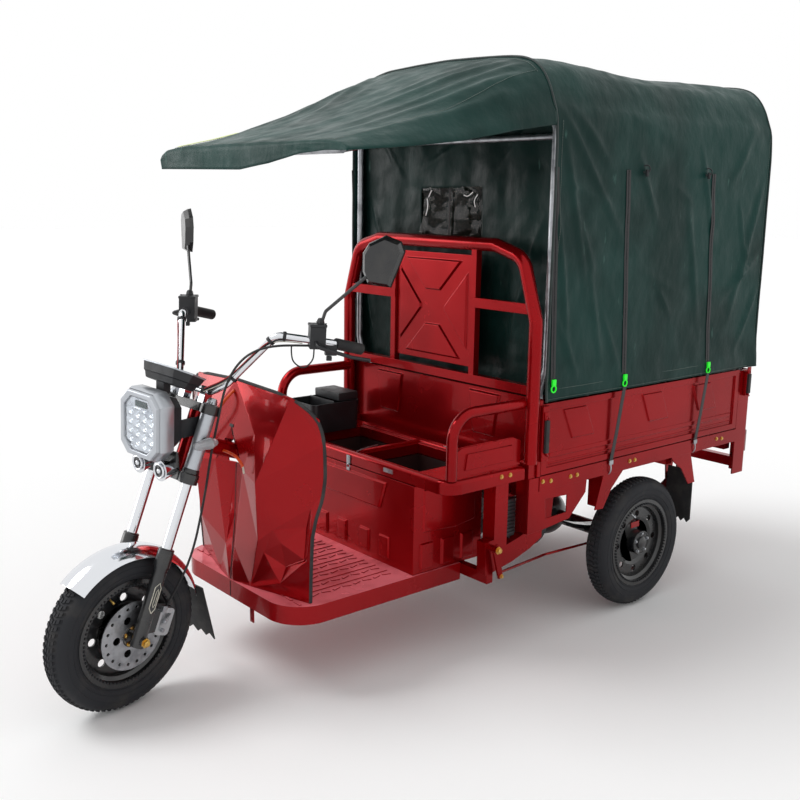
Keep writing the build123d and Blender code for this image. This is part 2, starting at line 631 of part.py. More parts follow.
# Front shield: folded sheet round a recess for the fork, given by its creases on the left side
SHIELD_FOOT = FLOOR_TOP + SEAT_GAP
TOP_MID = (1446, 0, 949)
TOP_SIDE = (1426, 270, 932)
SHOULDER = (1396, 362, 880)
EDGE_HIGH = (1389, 380, 809)
EDGE_MID = (1372, 360, 665)
EDGE_LOW = (1396, 330, 545)
EDGE_BASE = (1400, 328, 437)
EDGE_BOTTOM = (1396, 318, SHIELD_FOOT)
HOOD_MID = (1464, 0, 804)
HOOD_SIDE = (1466, 133, 804)
RECESS_TOP = (1450, 0, 684)
RECESS_MID = (1458, 0, 513)
RECESS_LOW = (1476, 0, 345)
RECESS_FOOT = (1478, 0, SHIELD_FOOT)
LIP_TOP = (1478, 82, 684)
LIP_MID = (1478, 27, 423)
LIP_LOW = (1480, 12, 345)
LIP_FOOT = (1479, 12, SHIELD_FOOT)
RIDGE_TOP = (1496, 180, 668)
RIDGE_MID = (1484, 172, 484)
RIDGE_FOOT = (1462, 92, SHIELD_FOOT)
# A sunken panel low on each side: its rim, then its floor
RIM = ((1456, 212, 524), (1392, 318, 606), (1404, 312, 442), (1426, 205, 345), (1446, 190, 394), (1460, 168, 442))
SUNK = ((1436, 226, 482), (1388, 290, 540), (1392, 284, 436), (1412, 214, 398))
SHIELD_WALL = 5.0
SHIELD_FACETS = (
    (TOP_MID, TOP_SIDE, HOOD_SIDE), (TOP_MID, HOOD_SIDE, HOOD_MID),
    (TOP_SIDE, SHOULDER, EDGE_HIGH), (TOP_SIDE, EDGE_HIGH, RIDGE_TOP), (TOP_SIDE, RIDGE_TOP, HOOD_SIDE),
    (HOOD_MID, HOOD_SIDE, LIP_TOP), (HOOD_MID, LIP_TOP, RECESS_TOP), (HOOD_SIDE, RIDGE_TOP, LIP_TOP),
    (RECESS_TOP, LIP_TOP, LIP_MID), (RECESS_TOP, LIP_MID, RECESS_MID), (RECESS_MID, LIP_MID, LIP_LOW),
    (RECESS_MID, LIP_LOW, RECESS_LOW), (RECESS_LOW, LIP_LOW, LIP_FOOT), (RECESS_LOW, LIP_FOOT, RECESS_FOOT),
    (LIP_TOP, RIDGE_TOP, RIDGE_MID), (LIP_TOP, RIDGE_MID, LIP_MID), (LIP_MID, RIDGE_MID, RIDGE_FOOT),
    (LIP_MID, RIDGE_FOOT, LIP_LOW), (LIP_LOW, RIDGE_FOOT, LIP_FOOT),
    (RIDGE_TOP, EDGE_HIGH, EDGE_MID), (RIDGE_TOP, EDGE_MID, RIM[1]), (RIDGE_TOP, RIM[1], RIM[0]),
    (RIDGE_TOP, RIM[0], RIDGE_MID), (RIDGE_MID, RIM[0], RIM[5]), (RIDGE_MID, RIM[5], RIDGE_FOOT),
    (RIM[5], RIM[4], RIDGE_FOOT), (RIDGE_FOOT, RIM[4], RIM[3]), (RIDGE_FOOT, RIM[3], EDGE_BOTTOM),
    (RIM[3], RIM[2], EDGE_BOTTOM), (RIM[2], EDGE_BASE, EDGE_BOTTOM), (EDGE_LOW, EDGE_BASE, RIM[2]),
    (RIM[1], EDGE_LOW, RIM[2]), (RIM[1], EDGE_MID, EDGE_LOW),
    (RIM[0], RIM[1], SUNK[1]), (RIM[0], SUNK[1], SUNK[0]), (RIM[1], RIM[2], SUNK[2]), (RIM[1], SUNK[2], SUNK[1]),
    (RIM[2], RIM[3], SUNK[3]), (RIM[2], SUNK[3], SUNK[2]), (RIM[3], RIM[4], SUNK[3]), (RIM[4], RIM[5], SUNK[3]),
    (RIM[5], SUNK[0], SUNK[3]), (RIM[5], RIM[0], SUNK[0]), (SUNK[0], SUNK[1], SUNK[2]), (SUNK[0], SUNK[2], SUNK[3]),
)
with BuildPart() as front_shield:
    sheets = []
    for facet in SHIELD_FACETS:
        for side in SIDES:
            face = Face(Wire.make_polygon(mirrored(facet, side)))
            sheets.append(Solid.extrude(face, Vector(-SHIELD_WALL, 0, 0)))
    add(sheets)
    with BuildSketch(across(1400)) as slot_outline:
        Polygon((-29, 688), (29, 688), (29, 760), (-29, 760), align=None)
    extrude(to_extrude=slot_outline.sketch, amount=140, mode=Mode.SUBTRACT)
save(front_shield, "front_shield")

# Seat box with pressed panels, open on top
with BuildPart() as seat_box:
    block(SEAT_BOX_X, (-SEAT_BOX_HALF_WIDTH, SEAT_BOX_HALF_WIDTH), (FLOOR_TOP, DECK_Z[0]))
    block(
        (SEAT_BOX_X[0] + SHEET, SEAT_BOX_X[1] - SHEET),
        (SHEET - SEAT_BOX_HALF_WIDTH, SEAT_BOX_HALF_WIDTH - SHEET),
        (FLOOR_TOP + SHEET, DECK_Z[0] + 1),
        Mode.SUBTRACT,
    )
    front = across(SEAT_BOX_X[1])
    for rib_y in (-265, -150, -40, 85, 190):
        pressing(front, [(rib_y - 26, 330), (rib_y + 26, 330), (rib_y + 26, 406), (rib_y - 26, 406)], 7)
    pressing(front, [(-160, 588), (198, 588), (166, 494), (-128, 494)], 8)
    for side in SIDES:
        wall = side_plane(SEAT_BOX_HALF_WIDTH, side)
        for rib_x in (770, 857, 950):
            with BuildSketch(wall) as rib:
                with Locations((rib_x, 365)):
                    Rectangle(56, 90)
            extrude(to_extrude=rib.sketch, amount=-side * 8, taper=25)
        with BuildSketch(wall) as upper_panel:
            Polygon((735, 588), (965, 588), (965, 446), (820, 438), (735, 450), align=None)
        extrude(to_extrude=upper_panel.sketch, amount=-side * 5, taper=25)
save(seat_box, "seat_box")

with BuildPart() as seat_deck:
    with BuildSketch(Plane.XY.offset(DECK_Z[0])) as deck_outline:
        with Locations(((DECK_X[0] + DECK_X[1]) / 2, 0)):
            Rectangle(DECK_X[1] - DECK_X[0], 2 * DECK_HALF_WIDTH)
        fillet(deck_outline.vertices().group_by(Axis.X)[-1], DECK_CORNER)
    extrude(to_extrude=deck_outline.sketch, amount=DECK_Z[1] - DECK_Z[0])
    fillet(seat_deck.faces().sort_by(Axis.Z)[-1].edges(), 14)
    for side in SIDES:
        bin_y = sorted((side * BIN_Y[0], side * BIN_Y[1]))
        block(BIN_X, bin_y, (DECK_Z[0] - 1, DECK_Z[1] + 1), Mode.SUBTRACT)
        block((BIN_X[0] - 18, BIN_X[1] + 12), (bin_y[0] - 12, bin_y[1] + 12), (DECK_Z[1] - 6, DECK_Z[1] + 1), Mode.SUBTRACT)
save(seat_deck, "seat_deck")

with BuildPart() as armrests:
    for side in SIDES:
        arm = [
            (ARMREST_FRONT, ARMREST_Y, DECK_Z[1]), (ARMREST_FRONT, ARMREST_Y, ARMREST_TOP),
            (BACKREST_X + BACKREST_DIAMETER / 2, ARMREST_Y, ARMREST_TOP),
        ]
        tube(mirrored(arm, side), 85, ARMREST_DIAMETER)
        with BuildSketch(side_plane(ARMREST_Y, side)) as panel:
            Polygon((668, 655), (958, 655), (958, 735), (930, 748), (700, 748), (668, 735), align=None)
        extrude(to_extrude=panel.sketch, amount=6, both=True)
        with BuildSketch(side_plane(ARMREST_Y, side)) as emboss:
            Polygon((700, 672), (925, 672), (915, 730), (710, 730), align=None)
        extrude(to_extrude=emboss.sketch, amount=12, both=True, taper=20)
save(armrests, "armrests")

with BuildPart() as storage_tray:
    with BuildSketch(Plane.XY.offset(DECK_Z[1] + SEAT_GAP)) as tray_outline:
        with Locations((857, -355)):
            RectangleRounded(206, 160, 18)
    extrude(to_extrude=tray_outline.sketch, amount=110, taper=-3)
    with BuildSketch(Plane.XY.offset(DECK_Z[1] + 5)) as tray_hollow:
        with Locations((857, -355)):
            RectangleRounded(198, 152, 14)
    extrude(to_extrude=tray_hollow.sketch, amount=120, taper=-3, mode=Mode.SUBTRACT)
save(storage_tray, "storage_tray")

# Backrest
with BuildPart() as backrest_frame:
    loop = [
        (BACKREST_X, BACKREST_HALF_WIDTH, BACKREST_FOOT), (BACKREST_X, BACKREST_HALF_WIDTH, 1120),
        (BACKREST_X, 425, 1318), (BACKREST_X, 300, BACKREST_TOP),
    ]
    tube(loop + mirrored(loop[::-1], -1), 75, BACKREST_DIAMETER)
    block((BACKREST_X - 15, BACKREST_X + 15), (-BACKREST_HALF_WIDTH, BACKREST_HALF_WIDTH), (883, 913))
    for side in SIDES:
        bar = sorted((side * (BACK_PANEL_HALF_WIDTH + SEAT_GAP), side * BACKREST_HALF_WIDTH))
        block((BACKREST_X - 14, BACKREST_X + 14), bar, (1143, 1176))
        upright = sorted((side * (BACK_PANEL_HALF_WIDTH + SEAT_GAP), side * (BACK_PANEL_HALF_WIDTH + 25)))
        block((BACKREST_X - 12, BACKREST_X + 12), upright, (900, 1340))
save(backrest_frame, "backrest_frame")

with BuildPart() as backrest_panel:
    with BuildSketch(across(BACKREST_X - 10)) as panel_outline:
        with Locations((0, sum(BACK_PANEL_Z) / 2)):
            RectangleRounded(2 * BACK_PANEL_HALF_WIDTH, BACK_PANEL_Z[1] - BACK_PANEL_Z[0], 12)
    extrude(to_extrude=panel_outline.sketch, amount=12)
    low, high = BACK_PANEL_Z
    middle = (low + high) / 2
    front = across(BACKREST_X + 2)
    half = BACK_PANEL_HALF_WIDTH - 22
    for flip in SIDES:
        pressing(front, [(flip * -half, low + 60), (flip * -half, high - 60), (flip * -60, middle + 8), (flip * -60, middle - 8)], 7)
    pressing(front, [(-half + 30, high - 22), (half - 30, high - 22), (38, middle + 60), (-38, middle + 60)], 7)
    pressing(front, [(-half + 30, low + 22), (half - 30, low + 22), (38, middle - 60), (-38, middle - 60)], 7)
save(backrest_panel, "backrest_panel")

# Load bed
with BuildPart() as bed_frame:
    with BuildSketch(Plane.XY.offset(SILL_Z[0])) as sill:
        with Locations(((BED_REAR + BED_FRONT) / 2, 0)):
            Rectangle(BED_FRONT - BED_REAR, 2 * BED_HALF_WIDTH)
            Rectangle(BED_FRONT - BED_REAR - 2 * SILL_WIDTH, 2 * (BED_HALF_WIDTH - SILL_WIDTH), mode=Mode.SUBTRACT)
    extrude(to_extrude=sill.sketch, amount=SILL_Z[1] - SILL_Z[0])
    for side in SIDES:
        outer = sorted((side * BED_HALF_WIDTH, side * (BED_HALF_WIDTH - 6)))
        block((BED_REAR, POST_FRONT), outer, POST_Z)
        back = sorted((side * BED_HALF_WIDTH, side * (BED_HALF_WIDTH - POST_DEPTH)))
        block((BED_REAR, BED_REAR + 6), back, POST_Z)
        pillar_y = sorted((side * (BED_HALF_WIDTH - POST_DEPTH), side * PLATE_INNER))
        block(PILLAR_X, pillar_y, (PILLAR_Z[0], WALL_Z[0] - 2))
        block((WALL_X[1] + 0.6, PILLAR_X[1]), pillar_y, (WALL_Z[0] - 3, PILLAR_Z[1]))
        block((BED_REAR + 6, BED_REAR + 40), sorted((side * 470, side * 494)), (440, 480))
        for lug_y in (HINGE_Y - 22, HINGE_Y + 14):
            lug = sorted((side * lug_y, side * (lug_y + 8)))
            block((HINGE_X, BED_REAR), lug, (HINGE_Z - KNUCKLE_RADIUS, HINGE_Z - 2))
            with Locations(Location((HINGE_X, side * (lug_y + 4), HINGE_Z), (90, 0, 0))):
                Cylinder(KNUCKLE_RADIUS, 8)
        with Locations(Location((HINGE_X, side * HINGE_Y, HINGE_Z), (90, 0, 0))):
            Cylinder(HINGE_PIN_RADIUS, 44)
    block((BED_REAR + 6, BED_REAR + 40), (-494, 494), (440, 480))
save(bed_frame, "bed_frame")

with BuildPart() as bed_floor:
    inner = BED_HALF_WIDTH - 7
    block((BED_REAR + 7, WALL_X[0] - SEAT_GAP), (-inner, inner), (SILL_Z[1], SILL_Z[1] + FLOOR_SHEET))
    for rib_y in range(-400, 401, 100):
        with BuildSketch(Plane.XY.offset(SILL_Z[1] + FLOOR_SHEET)) as rib:
            with Locations(((BED_REAR + BED_FRONT) / 2, rib_y)):
                Rectangle(1120, 34)
        extrude(to_extrude=rib.sketch, amount=5, taper=40)
save(bed_floor, "bed_floor")

BED_TOP = SILL_Z[1] + FLOOR_SHEET
with BuildPart() as bed_front_wall:
    block(WALL_X, (-BED_HALF_WIDTH, BED_HALF_WIDTH), WALL_Z)
    block((WALL_X[0] - 1, WALL_X[1] - 4), (14 - BED_HALF_WIDTH, BED_HALF_WIDTH - 14), (WALL_Z[0] + 14, WALL_Z[1] - 14), Mode.SUBTRACT)
    for mid in (-260, 246):
        outline = [(mid - 50, 705), (mid + 50, 705), (mid + 75, 855), (mid - 75, 855)]
        pressing(across(WALL_X[1]), outline, 8)
save(bed_front_wall, "bed_front_wall")

with BuildPart() as side_boards:
    for side in SIDES:
        y_span = sorted((side * BED_HALF_WIDTH, side * (BED_HALF_WIDTH - BOARD_DEPTH)))
        block((POST_FRONT + SEAT_GAP, WALL_X[0] - SEAT_GAP), y_span, (BED_TOP, BOARD_TOP))
        skin = sorted((side * (BED_HALF_WIDTH - BOARD_FIELD), side * (BED_HALF_WIDTH + 1)))
        block((POST_FRONT + 30, BED_FRONT - 30), skin, (BED_TOP + 22, BOARD_TOP - 22), Mode.SUBTRACT)
        hollow = sorted((side * (BED_HALF_WIDTH - BOARD_DEPTH - 1), side * (BED_HALF_WIDTH - BOARD_FIELD - SHEET)))
        block((POST_FRONT + 14, BED_FRONT - 14), hollow, (BED_TOP + 14, BOARD_TOP - 14), Mode.SUBTRACT)
        field = side_plane(BED_HALF_WIDTH - BOARD_FIELD - 1, side)
        for mid in BOARD_STEPS:
            outline = [
                (mid - 58, BED_TOP + 104), (mid + 62, BED_TOP + 104), (mid + 112, BOARD_TOP - 30), (mid - 8, BOARD_TOP - 30),
            ]
            with BuildSketch(field) as step:
                Polygon(*outline, align=None)
            extrude(to_extrude=step.sketch, amount=-side * 7, taper=20)
        for low, high in ((30, 38), (52, 70)):
            with BuildSketch(field) as ridge:
                with Locations(((POST_FRONT + BED_FRONT) / 2, BED_TOP + (low + high) / 2)):
                    Rectangle(BED_FRONT - POST_FRONT - 90, high - low)
            extrude(to_extrude=ridge.sketch, amount=-side * 5, taper=15)
save(side_boards, "side_boards")

with BuildPart() as tailgate:
    gate_x = (BED_REAR + 8, BED_REAR + 8 + TAILGATE_DEPTH)
    gate_z = (BED_TOP + 3, BOARD_TOP - 4)
    block(gate_x, (-TAILGATE_HALF_WIDTH, TAILGATE_HALF_WIDTH), gate_z)
    inside = TAILGATE_HALF_WIDTH - 14
    block((gate_x[0] + 4, gate_x[1] + 1), (-inside, inside), (gate_z[0] + 14, gate_z[1] - 14), Mode.SUBTRACT)
    for mid in (-280, 0, 280):
        outline = [(mid - 60, 690), (mid + 60, 690), (mid + 100, 825), (mid - 100, 825)]
        with BuildSketch(across(gate_x[0])) as step:
            Polygon(*outline, align=None)
        extrude(to_extrude=step.sketch, amount=-5, taper=25)
    for side in SIDES:
        strap = (side * HINGE_Y - 13, side * HINGE_Y + 13)
        block((HINGE_X - 4, gate_x[0] + 1), strap, (HINGE_Z + 3, HINGE_Z + 9))
        with Locations(Location((HINGE_X, side * HINGE_Y, HINGE_Z), (90, 0, 0))):
            Cylinder(KNUCKLE_RADIUS, 26)
            Cylinder(HINGE_PIN_RADIUS + RUNNING_CLEARANCE, 30, mode=Mode.SUBTRACT)
save(tailgate, "tailgate")

with BuildPart() as fender_plates:
    under = SILL_Z[0]
    for side in SIDES:
        face = side_plane(PLATE_Y, side)
        front = [
            (PILLAR_X[1], 604), (600.5, 604), (600.5, under), (353, under), (356, 511), (439, 431), (578, 417),
            (PILLAR_X[1], 415),
        ]
        plate(face, front, PLATE_WALL)
        plate(face, [(567, 524), (454, 518), (454, 456), (560, 454)], 8, Mode.SUBTRACT)
        plate(face, [(150, under), (262, under), (300, 432), (255, 430), (212, 497)], PLATE_WALL)
        plate(face, [(-142, under), (-268, under), (-309, 430), (-266, 430), (-213, 500), (-161, 533)], PLATE_WALL)
        with BuildSketch(across(262)) as flange:
            low_y, high_y = sorted((side * (PLATE_Y - 60), side * PLATE_Y))
            with Locations(((low_y + high_y) / 2, (under + 432) / 2)):
                Rectangle(high_y - low_y, under - 432)
        extrude(to_extrude=flange.sketch, amount=4)
save(fender_plates, "fender_plates")

with BuildPart() as rear_mudflaps:
    for side in SIDES:
        outer = BED_HALF_WIDTH - 7.5 - SEAT_GAP
        with BuildSketch(across(MUDFLAP_X)):
            teeth = [(side * (outer - 120 + 120 / 9 * n), 262 + 15 * (n % 2)) for n in range(10)]
            Polygon((side * (outer - 114), 475), *teeth, (side * outer, 452), (side * (outer - 40), 475), align=None)
        extrude(amount=-5)
save(rear_mudflaps, "rear_mudflaps")

with BuildPart() as board_latches:
    for side in SIDES:
        y_span = sorted((side * (BED_HALF_WIDTH + SEAT_GAP), side * (BED_HALF_WIDTH + 14)))
        block((580, 612), y_span, (660, 846))
        block((POST_FRONT - 50, POST_FRONT - 28), y_span, (742, 840))
save(board_latches, "board_latches")

# Cover
half = COVER_HALF_WIDTH
ROOF_Y = (0, 0.49 * half, half - 128, half - 72, half - 37, half - 22, half)
ROOF = list(zip(ROOF_Y, (1957, 1950, 1936, 1899, 1846, 1801, EAVE_Z)))
ROOF_TIES = ((0, 1930), (half - 64, 1835), (64 - half, 1835))


def strip(half_line, wall):
    """A closed band under a line drawn from the middle to the left edge."""
    whole = [(-y, z) for y, z in half_line[:0:-1]] + list(half_line)
    under = [(y - wall * (1 if y > 400 else -1 if y < -400 else 0), z - wall) for y, z in whole[::-1]]
    return whole + under


with BuildPart() as cover_roof:
    with BuildSketch(across(COVER_X[0])) as roof:
        Polygon(*strip(ROOF, COVER_WALL), align=None)
    extrude(to_extrude=roof.sketch, amount=COVER_X[1] - COVER_X[0])
save(cover_roof, "cover_roof")

with BuildPart() as cover_sides:
    for side in SIDES:
        y_span = sorted((side * COVER_HALF_WIDTH, side * (COVER_HALF_WIDTH - COVER_WALL)))
        block(COVER_X, y_span, (COVER_HEM, EAVE_Z - COVER_WALL - SEAT_GAP))
save(cover_sides, "cover_sides")


def end_curtain(builder_x, wall, low):
    """A flat end wall under the roof line."""
    slack = COVER_WALL + 0.5
    inner = COVER_HALF_WIDTH - slack
    left = [(y - slack, z - slack) for y, z in ROOF[::-1] if y]
    inside = [(inner, low)] + left + [(-y, z) for y, z in left[::-1]]
    with BuildSketch(across(builder_x)) as sheet:
        Polygon(*inside, (-inner, low), align=None)
    extrude(to_extrude=sheet.sketch, amount=wall)


with BuildPart() as rear_curtain:
    end_curtain(COVER_X[0], CURTAIN_WALL, COVER_HEM)
save(rear_curtain, "rear_curtain")

with BuildPart() as front_curtain:
    curtain_x = HOOP_X[1] - HOOP_DIAMETER / 2 - CURTAIN_WALL - SEAT_GAP
    end_curtain(curtain_x, CURTAIN_WALL, WALL_Z[1] + 4)
    (pane_left, pane_right), (pane_low, pane_high) = CLEAR_PANE
    through = (curtain_x - 1, curtain_x + CURTAIN_WALL + 1)
    block(through, (pane_left, pane_right), (pane_low, pane_high), Mode.SUBTRACT)
    for y, z in ROOF_TIES:
        block(through, (y - 12, y + 12), (z - 12, z + 40), Mode.SUBTRACT)
save(front_curtain, "front_curtain")

with BuildPart() as clear_pane:
    gap = SEAT_GAP
    block(
        (curtain_x + 1, curtain_x + 3),
        (pane_left + gap, pane_right - gap),
        (pane_low + gap, pane_high - gap),
    )
save(clear_pane, "clear_pane")

AWNING_Y = ROOF_Y[:-1] + (half + 3,)
AWNING_MID = list(zip(AWNING_Y, (1795, 1788, 1775, 1752, 1728, 1705, 1668)))
AWNING_END = list(zip(AWNING_Y, (1652, 1651, 1649, 1646, 1642, 1636, 1622)))
with BuildPart() as awning:
    for x, half_line in ((COVER_X[1] + SEAT_GAP, ROOF), (997, AWNING_MID), (AWNING_FRONT, AWNING_END)):
        with BuildSketch(across(x)):
            Polygon(*strip(half_line, COVER_WALL), align=None)
    loft(ruled=True)
    with BuildSketch(across(AWNING_FRONT - 6)) as valance:
        edge = half - 7
        Polygon((-edge, 1646), (-edge, 1585), (-20, 1578), (297, 1618), (edge, 1628), (edge, 1646), align=None)
    extrude(to_extrude=valance.sketch, amount=6)
save(awning, "awning")

with BuildPart() as cover_hoops:
    foot_y = BED_HALF_WIDTH - BOARD_DEPTH - SEAT_GAP - HOOP_DIAMETER / 2
    hoop_half = [
        (foot_y, BED_TOP), (foot_y, 885), (half - 20, 960), (half - 20, 1715), (half - 49, 1812), (half - 89, 1882),
        (half - 145, 1916), (half - 272, 1930),
    ]
    for x in HOOP_X:
        corners = [(x, y, z) for y, z in hoop_half]
        tube(corners + mirrored(corners[::-1], -1), 60, HOOP_DIAMETER)
    for y, z in ROOF_TIES:
        tube([(HOOP_X[0], y, z), (HOOP_X[1], y, z)], 0, TIE_DIAMETER)
    for side in SIDES:
        tube([(HOOP_X[1], side * (half - 46), 1770), (BAR_X, side * (half - 60), 1624)], 0, TIE_DIAMETER)
    tube([(BAR_X, 48 - half, 1624), (BAR_X, half - 48, 1624)], 0, TIE_DIAMETER + 2)
    tube([(HOOP_X[1], 22 - half, 1695), (HOOP_X[1], half - 22, 1695)], 0, TIE_DIAMETER)
save(cover_hoops, "cover_hoops")

with BuildPart() as cover_straps:
    for side in SIDES:
        for x in (235, -279):
            y_span = sorted((side * (COVER_HALF_WIDTH + SEAT_GAP), side * (COVER_HALF_WIDTH + 3)))
            block((x - 9, x + 9), y_span, (590, 930))
            hook = sorted((side * BED_HALF_WIDTH, side * (COVER_HALF_WIDTH + 8)))
            block((x - 6, x + 6), hook, (582, 590))
save(cover_straps, "cover_straps")

# Rear running gear
with BuildPart() as rear_axle:
    plate_y = HALF_TRACK - DRUM_DEPTH - 12
    with BuildSketch(Plane(origin=(0, 0, TYRE_RADIUS), x_dir=(1, 0, 0), z_dir=(0, 1, 0))) as axle_tube:
        Circle(AXLE_TUBE_DIAMETER / 2)
    extrude(to_extrude=axle_tube.sketch, amount=plate_y, both=True)
    for side in SIDES:
        with BuildSketch(Plane(origin=(0, side * plate_y, TYRE_RADIUS), x_dir=(1, 0, 0), z_dir=(0, side, 0))) as back:
            Circle(DRUM_RADIUS + 6)
        extrude(to_extrude=back.sketch, amount=5)
        with BuildSketch(Plane(origin=(0, side * plate_y, TYRE_RADIUS), x_dir=(1, 0, 0), z_dir=(0, side, 0))) as spindle:
            Circle(SPINDLE_RADIUS)
        extrude(to_extrude=spindle.sketch, amount=HALF_TRACK + 24 - plate_y)
    with Locations((0, 0, TYRE_RADIUS)):
        Sphere(DIFFERENTIAL_RADIUS)
save(rear_axle, "rear_axle")

with BuildPart() as drive_motor:
    motor_x = DIFFERENTIAL_RADIUS + MOTOR_RADIUS + SEAT_GAP
    with Locations(Location((motor_x, 0, TYRE_RADIUS), (90, 0, 0))):
        Cylinder(MOTOR_RADIUS, MOTOR_LENGTH)
save(drive_motor, "drive_motor")

with BuildPart() as leaf_springs:
    main_leaf_z = TYRE_RADIUS + AXLE_TUBE_DIAMETER / 2 + SEAT_GAP + (LEAF_COUNT - 1) * LEAF
    for side in SIDES:
        for leaf in range(LEAF_COUNT):
            reach = 1 - 0.27 * leaf
            half = SPRING_HALF_LENGTH * reach
            mid_z = main_leaf_z - leaf * LEAF
            end_z = mid_z + (SPRING_END_Z - main_leaf_z) * reach**2
            with BuildSketch(side_plane(SPRING_Y, side)) as blade:
                with BuildLine():
                    ThreePointArc((-half, end_z), (0, mid_z), (half, end_z))
                    ThreePointArc((-half, end_z + LEAF), (0, mid_z + LEAF), (half, end_z + LEAF))
                    Line((-half, end_z), (-half, end_z + LEAF))
                    Line((half, end_z), (half, end_z + LEAF))
                make_face()
            extrude(to_extrude=blade.sketch, amount=SPRING_WIDTH / 2, both=True)
        for end in SIDES:
            with Locations(Location((end * SPRING_HALF_LENGTH, side * SPRING_Y, SPRING_END_Z + 2), (90, 0, 0))):
                Cylinder(14, SPRING_WIDTH + 1.4)
save(leaf_springs, "leaf_springs")

with BuildPart() as brake_linkage:
    shaft_x, shaft_z = BRAKE_SHAFT
    tube([(shaft_x, NECK_OUTER - NECK_WIDTH - 8, shaft_z), (shaft_x, 504, shaft_z)], 0, BRAKE_SHAFT_DIAMETER)
    plate(side_plane(488), [(shaft_x - 13, 408), (shaft_x + 12, 404), (768, 288), (750, 292)], 8)
    tube([(759, 490, 296), (735, 455, 290), (420, 380, 262), (120, 378, 250)], 20, 9)
save(brake_linkage, "brake_linkage")

with BuildPart() as tail_lamps:
    for side in SIDES:
        y_span = sorted((side * 444, side * 494))
        block((BED_REAR - 22, BED_REAR - SEAT_GAP), y_span, (500, 590))
save(tail_lamps, "tail_lamps")

with BuildPart() as gate_buffers:
    for side in SIDES:
        with Locations(Location((HINGE_X - 1, side * HINGE_Y, 460), (0, 90, 0))):
            Cylinder(14, 33)
save(gate_buffers, "gate_buffers")
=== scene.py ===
import json
import math

import bmesh
import bpy
import numpy as np
from mathutils import Matrix, Quaternion, Vector, noise


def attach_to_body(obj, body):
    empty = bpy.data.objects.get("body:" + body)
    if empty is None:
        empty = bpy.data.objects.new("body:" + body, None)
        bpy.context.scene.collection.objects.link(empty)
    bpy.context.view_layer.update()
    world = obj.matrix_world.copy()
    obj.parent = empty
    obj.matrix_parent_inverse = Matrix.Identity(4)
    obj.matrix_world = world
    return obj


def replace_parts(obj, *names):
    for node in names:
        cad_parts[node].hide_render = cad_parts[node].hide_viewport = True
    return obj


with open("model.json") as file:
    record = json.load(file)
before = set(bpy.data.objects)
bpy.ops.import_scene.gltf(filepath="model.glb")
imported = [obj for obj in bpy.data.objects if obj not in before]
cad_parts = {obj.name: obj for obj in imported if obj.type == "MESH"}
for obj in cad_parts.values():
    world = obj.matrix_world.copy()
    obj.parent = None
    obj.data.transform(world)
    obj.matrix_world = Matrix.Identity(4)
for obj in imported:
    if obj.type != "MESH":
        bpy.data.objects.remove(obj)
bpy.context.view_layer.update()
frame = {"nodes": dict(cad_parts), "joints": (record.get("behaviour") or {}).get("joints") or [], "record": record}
JOINTS = {joint["name"]: joint for joint in frame["joints"]}
NODES = frame["nodes"]

# Places are given in millimetres from the middle of the rear axle, on the ground, as the vehicle is drawn
MM = 0.001
REAR_AXLE_X = JOINTS["rear_left_spin"]["pos_m"][0]
WHEELBASE = 1853.0
HALF_TRACK = 448
WHEEL_Z = 245.0
RAKE = math.radians(21)
TURNED_LEFT = math.radians(11)
LEG_Y = 84
SIDES = (1, -1)
UP = Vector((0, 0, 1))

STEER = JOINTS["steering"]
STEER_POINT = Vector(STEER["pos_m"])
STEER_TURN = (
    Matrix.Translation(STEER_POINT)
    @ Matrix.Rotation(TURNED_LEFT, 4, Vector(STEER["axis"]))
    @ Matrix.Translation(-STEER_POINT)
)


def place(x, y, z):
    """A point of the chassis in the row frame."""
    return Vector((REAR_AXLE_X + x * MM, y * MM, z * MM))


def steered(x, y, z):
    """A point of the steering, drawn with the wheel straight ahead."""
    return STEER_TURN @ place(x, y, z)


def steered_way(way):
    """A direction of the steering, drawn with the wheel straight ahead."""
    return STEER_TURN.to_3x3() @ Vector(way)


def on_fork(x, y, z):
    """A point drawn along the fork: forward of the legs, to the left and up them from the wheel's axle."""
    forward = WHEELBASE + x * math.cos(RAKE) - z * math.sin(RAKE)
    return steered(forward, y, WHEEL_Z + x * math.sin(RAKE) + z * math.cos(RAKE))


AHEAD = steered_way((1, 0, 0))


def link(made):
    bpy.context.scene.collection.objects.link(made)
    return made


# Camera
CAMERA_PLACE = (3011.5, 2621.5, 1500.2)
CAMERA_YAW = math.radians(229.666)
CAMERA_PITCH = math.radians(-11.426)
CAMERA_ROLL = math.radians(0.884)
LENS = 44.95
SENSOR_WIDTH = 36
FAR_CLIP = 200


def make_camera():
    data = bpy.data.cameras.new("camera")
    data.lens = LENS
    data.sensor_width = SENSOR_WIDTH
    data.clip_end = FAR_CLIP
    camera = link(bpy.data.objects.new("camera", data))
    look = Vector((
        math.cos(CAMERA_YAW) * math.cos(CAMERA_PITCH),
        math.sin(CAMERA_YAW) * math.cos(CAMERA_PITCH),
        math.sin(CAMERA_PITCH),
    ))
    camera.rotation_mode = "QUATERNION"
    camera.rotation_quaternion = Quaternion(look, -CAMERA_ROLL) @ look.to_track_quat("-Z", "Y")
    camera.location = place(*CAMERA_PLACE)
    bpy.context.scene.camera = camera


# Node helpers for the finishes
def add_node(tree, kind, inputs=None, **settings):
    """A new shader or geometry node; an input takes a number, a colour or another node's socket."""
    made = tree.nodes.new(kind)
    for key, value in settings.items():
        setattr(made, key, value)
    for key, value in (inputs or {}).items():
        if isinstance(value, bpy.types.NodeSocket):
            tree.links.new(value, made.inputs[key])
        else:
            made.inputs[key].default_value = value
    return made


def made_by(tree, kind, inputs=None, **settings):
    """The first output of a new node."""
    return add_node(tree, kind, inputs, **settings).outputs[0]


